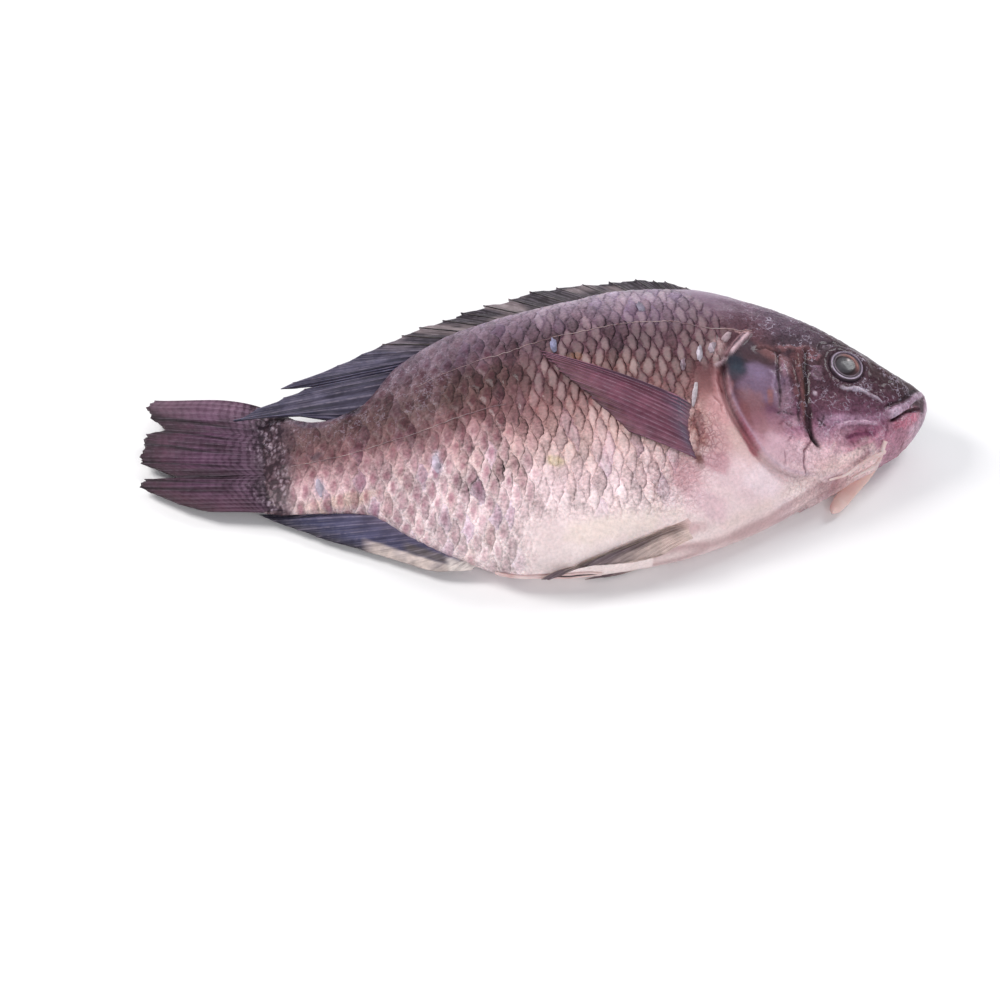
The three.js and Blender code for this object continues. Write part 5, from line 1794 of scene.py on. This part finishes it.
def loose_scales(body):
    material, w, shader = new_material("Loose Scale")
    place = w.node("ShaderNodeTexCoord").outputs["Object"]
    wet = w.group(wet_group(), Vector=place, Cloud_Scale=300.0)
    light = w.span(wet["Cloud"], 0.0, 1.0, 0.6, 1.1, "LINEAR")
    w.feed(shader.inputs["Base Color"], w.vector("SCALE", w.attribute("tone").outputs["Color"], None, None, light))
    w.feed(shader.inputs["Roughness"], w.span(wet["Gloss"], 0.0, 1.0, 0.25, 0.45, "LINEAR"))
    shader.inputs["Specular IOR Level"].default_value = 0.35
    turn = np.arange(FLAKE_SIDES) / FLAKE_SIDES * 2 * np.pi
    out = np.linspace(0, 1, FLAKE_RINGS + 1)[1:, None]
    points, faces, tones = [], [], []
    for number, (x, y, length, height, lean, tone) in enumerate(FLAKES):
        c, s = math.cos(math.radians(lean)), math.sin(math.radians(lean))
        edge = 1 + 0.3 * grain(2 * np.cos(turn), 2 * np.sin(turn), 0.9, 90 + number)
        along = out * edge * np.cos(turn) * length / 2
        across = out * edge * np.sin(turn) * height / 2
        at_x, at_y = x + along * c - across * s, y + along * s + across * c
        lift = 0.12 + 0.35 * smoothstep(-along / length, -0.1, 0.5)
        upper = flank_point(at_x, at_y, body, 0.16 + lift)
        lower = flank_point(at_x[::-1], at_y[::-1], body, -0.25)
        middle = flank_point(np.array([x, x], float), np.array([y, y], float), body, np.array([0.35, -0.25]))
        rings = np.concatenate([upper, lower]).reshape(-1, 3)
        start = sum(len(part) for part in points)
        count = len(rings)
        faces += grid_faces(2 * FLAKE_RINGS, FLAKE_SIDES, wrap=True, start=start, flip=True).tolist()
        sides = [(k, (k + 1) % FLAKE_SIDES) for k in range(FLAKE_SIDES)]
        last = start + count - FLAKE_SIDES
        faces += [[start + count, start + k, start + following] for k, following in sides]
        faces += [[start + count + 1, last + following, last + k] for k, following in sides]
        points.append(np.concatenate([rings, middle]))
        # Painted light: each flake is lighter towards its raised edge on the tail side.
        painted_shine = 0.6 + 0.4 * smoothstep(-along / length, -0.4, 0.4) + 0.25 * clouded(at_x, at_y, 1.6, 91)
        painted_shine = np.concatenate([painted_shine.ravel(), painted_shine[::-1].ravel(), [0.9, 0.9]])
        tones.append(with_alpha(painted_shine[:, None] * linear(tone)))
    make_piece("loose_scales", np.concatenate(points), faces, material, {"tone": np.concatenate(tones)})


def belly_cut():
    """The closed cut along the belly: a dark slit between two pale lips."""
    x = np.linspace(CUT_FROM_X, CUT_TO_X, 60)
    t = (x - CUT_FROM_X) / (CUT_TO_X - CUT_FROM_X)
    round_belly = np.linspace(math.pi, 1.35 * math.pi, 240)
    wave = 0.35 * grain(x, 0 * x, 4.0, 95)
    gape = (0.25 + 1.0 * smoothstep(t, 0.35, 0.7)) * np.sin(np.pi * np.clip(t, 0, 1)) ** 0.5

    def on_belly(height, proud):
        rows = []
        for place, z in zip(x, height):
            ring = skin_point(place, round_belly)
            angle = np.interp(-z, -ring[:, 2], round_belly)
            rows.append(skin_point(place, angle) + skin_normal(np.array([place]), angle)[0] * proud)
        return np.array(rows)

    lips = plain_wet_material("Cut Lip", (240, 216, 214), (216, 180, 178), scale=160.0, subsurface=0.1)
    guides = [on_belly(CUT_HEIGHT + wave + gape + 0.3, 0.25), on_belly(CUT_HEIGHT + wave - gape - 0.3, 0.25)]
    rods("belly_cut_lips", guides, (0.62, 0.5), lips)
    across = np.linspace(-1, 1, 7)
    grid = np.stack([on_belly(CUT_HEIGHT + wave + gape * part, 0.3) for part in across], axis=1)
    inner = np.stack([on_belly(CUT_HEIGHT + wave + gape * part, -0.8) for part in across], axis=1)
    shell, faces = closed_sheet(grid, inner)
    dark = plain_wet_material("Cut Inside", (58, 32, 28), (34, 18, 18), scale=160.0)
    make_piece("belly_cut", shell, outward(shell, faces), dark)


def throat_strips(body):
    finish = plain_wet_material("Throat Strip", (244, 226, 224), (222, 190, 188), scale=140.0, subsurface=0.1)
    rods("throat_strips", [along_flank(path, 1.0, body, 0.4) for path in THROAT_STRIPS], (1.1, 0.45), finish)


class RAWFISH_OT_details(bpy.types.Operator):
    """Build the lateral line, the loose scales, the cut along the belly and the strips of the throat"""

    bl_idname = "rawfish.details"
    bl_label = "Small details"

    def execute(self, context):
        body = context.scene.rawfish_body
        lateral_line(body)
        loose_scales(body)
        belly_cut()
        throat_strips(body)
        return {"FINISHED"}


# ---------------------------------------------------------------- the stage
CAMERA_AT = (-56.65, -493.25, 608.4)
CAMERA_LOOKS_AT = (-15.35, -21.45, 0.0)
CAMERA_LENS = 72.0
SENSOR_WIDTH = 36.0
# Soft lights: place, size, share of the light power and colour.
LIGHTS = [
    ("left_light", (-640, 260, 640), (300, 400), 1.0, (1.0, 0.985, 0.97)),
    ("right_light", (600, 330, 560), (260, 320), 0.5, (0.98, 0.99, 1.0)),
    ("rear_light", (60, 820, 330), (900, 160), 0.2, (0.96, 0.97, 1.0)),
    ("front_light", (120, -680, 520), (700, 360), 0.36, (1.0, 1.0, 1.0)),
]


def aim(item, at, target):
    item.location = Vector(at) * MM
    item.rotation_euler = (Vector(target) - Vector(at)).to_track_quat("-Z", "Y").to_euler()


def area_light(name, at, size, power, colour):
    data = bpy.data.lights.new(name, "AREA")
    data.shape = "RECTANGLE"
    data.size, data.size_y = size[0] * MM, size[1] * MM
    data.energy = power
    data.color = colour
    light = bpy.data.objects.new(name, data)
    bpy.context.scene.collection.objects.link(light)
    aim(light, at, (0, 0, 0))


def floor_piece(colour):
    reach = 3.0
    mesh = bpy.data.meshes.new("floor")
    corners = [(-reach, -reach, -0.0004), (reach, -reach, -0.0004), (reach, reach, -0.0004), (-reach, reach, -0.0004)]
    mesh.from_pydata(corners, [], [(0, 1, 2, 3)])
    material, w, shader = new_material("Pale Floor")
    w.feed(shader.inputs["Base Color"], (*colour, 1.0))
    shader.inputs["Roughness"].default_value = 0.8
    mesh.materials.append(material)
    floor = bpy.data.objects.new("floor", mesh)
    bpy.context.scene.collection.objects.link(floor)


class RAWFISH_OT_stage(bpy.types.Operator):
    """Place the camera, the pale floor and the studio lights"""

    bl_idname = "rawfish.stage"
    bl_label = "Stage"

    def execute(self, context):
        stage = context.scene.rawfish_stage
        data = bpy.data.cameras.new("camera")
        data.lens = CAMERA_LENS
        data.sensor_width = SENSOR_WIDTH
        data.clip_start = 0.01
        camera = bpy.data.objects.new("camera", data)
        context.scene.collection.objects.link(camera)
        aim(camera, CAMERA_AT, CAMERA_LOOKS_AT)
        context.scene.camera = camera
        floor_piece(stage.floor_colour)
        for name, at, size, share, colour in LIGHTS:
            area_light(name, at, size, share * stage.light_power, colour)
        world = bpy.data.worlds.new("studio")
        world.use_nodes = True
        background = world.node_tree.nodes["Background"]
        background.inputs["Color"].default_value = (0.93, 0.94, 1.0, 1.0)
        background.inputs["Strength"].default_value = stage.room_light
        context.scene.world = world
        context.scene.view_settings.view_transform = "Standard"
        return {"FINISHED"}


# ---------------------------------------------------------------- the add-on
class RAWFISH_PT_panel(bpy.types.Panel):
    """The pieces of the raw fish, in the order in which they are built"""

    bl_idname = "RAWFISH_PT_panel"
    bl_label = "Raw Fish"
    bl_space_type = "VIEW_3D"
    bl_region_type = "UI"
    bl_category = "Raw Fish"

    def draw(self, context):
        for operator in OPERATORS:
            self.layout.operator(operator.bl_idname)


SETTINGS = {
    "rawfish_body": RawFishBody,
    "rawfish_look": RawFishLook,
    "rawfish_stage": RawFishStage,
}
OPERATORS = [RAWFISH_OT_stage, RAWFISH_OT_skin, RAWFISH_OT_fins, RAWFISH_OT_eyes, RAWFISH_OT_details]
CLASSES = [*SETTINGS.values(), *OPERATORS, RAWFISH_PT_panel]


def register():
    for cls in CLASSES:
        bpy.utils.register_class(cls)
    for key, cls in SETTINGS.items():
        setattr(bpy.types.Scene, key, bpy.props.PointerProperty(type=cls))


def unregister():
    for key in SETTINGS:
        delattr(bpy.types.Scene, key)
    for cls in reversed(CLASSES):
        bpy.utils.unregister_class(cls)


def main():
    register()
    for operator in OPERATORS:
        area, name = operator.bl_idname.split(".")
        getattr(getattr(bpy.ops, area), name)()


if __name__ == "__main__":
    main()
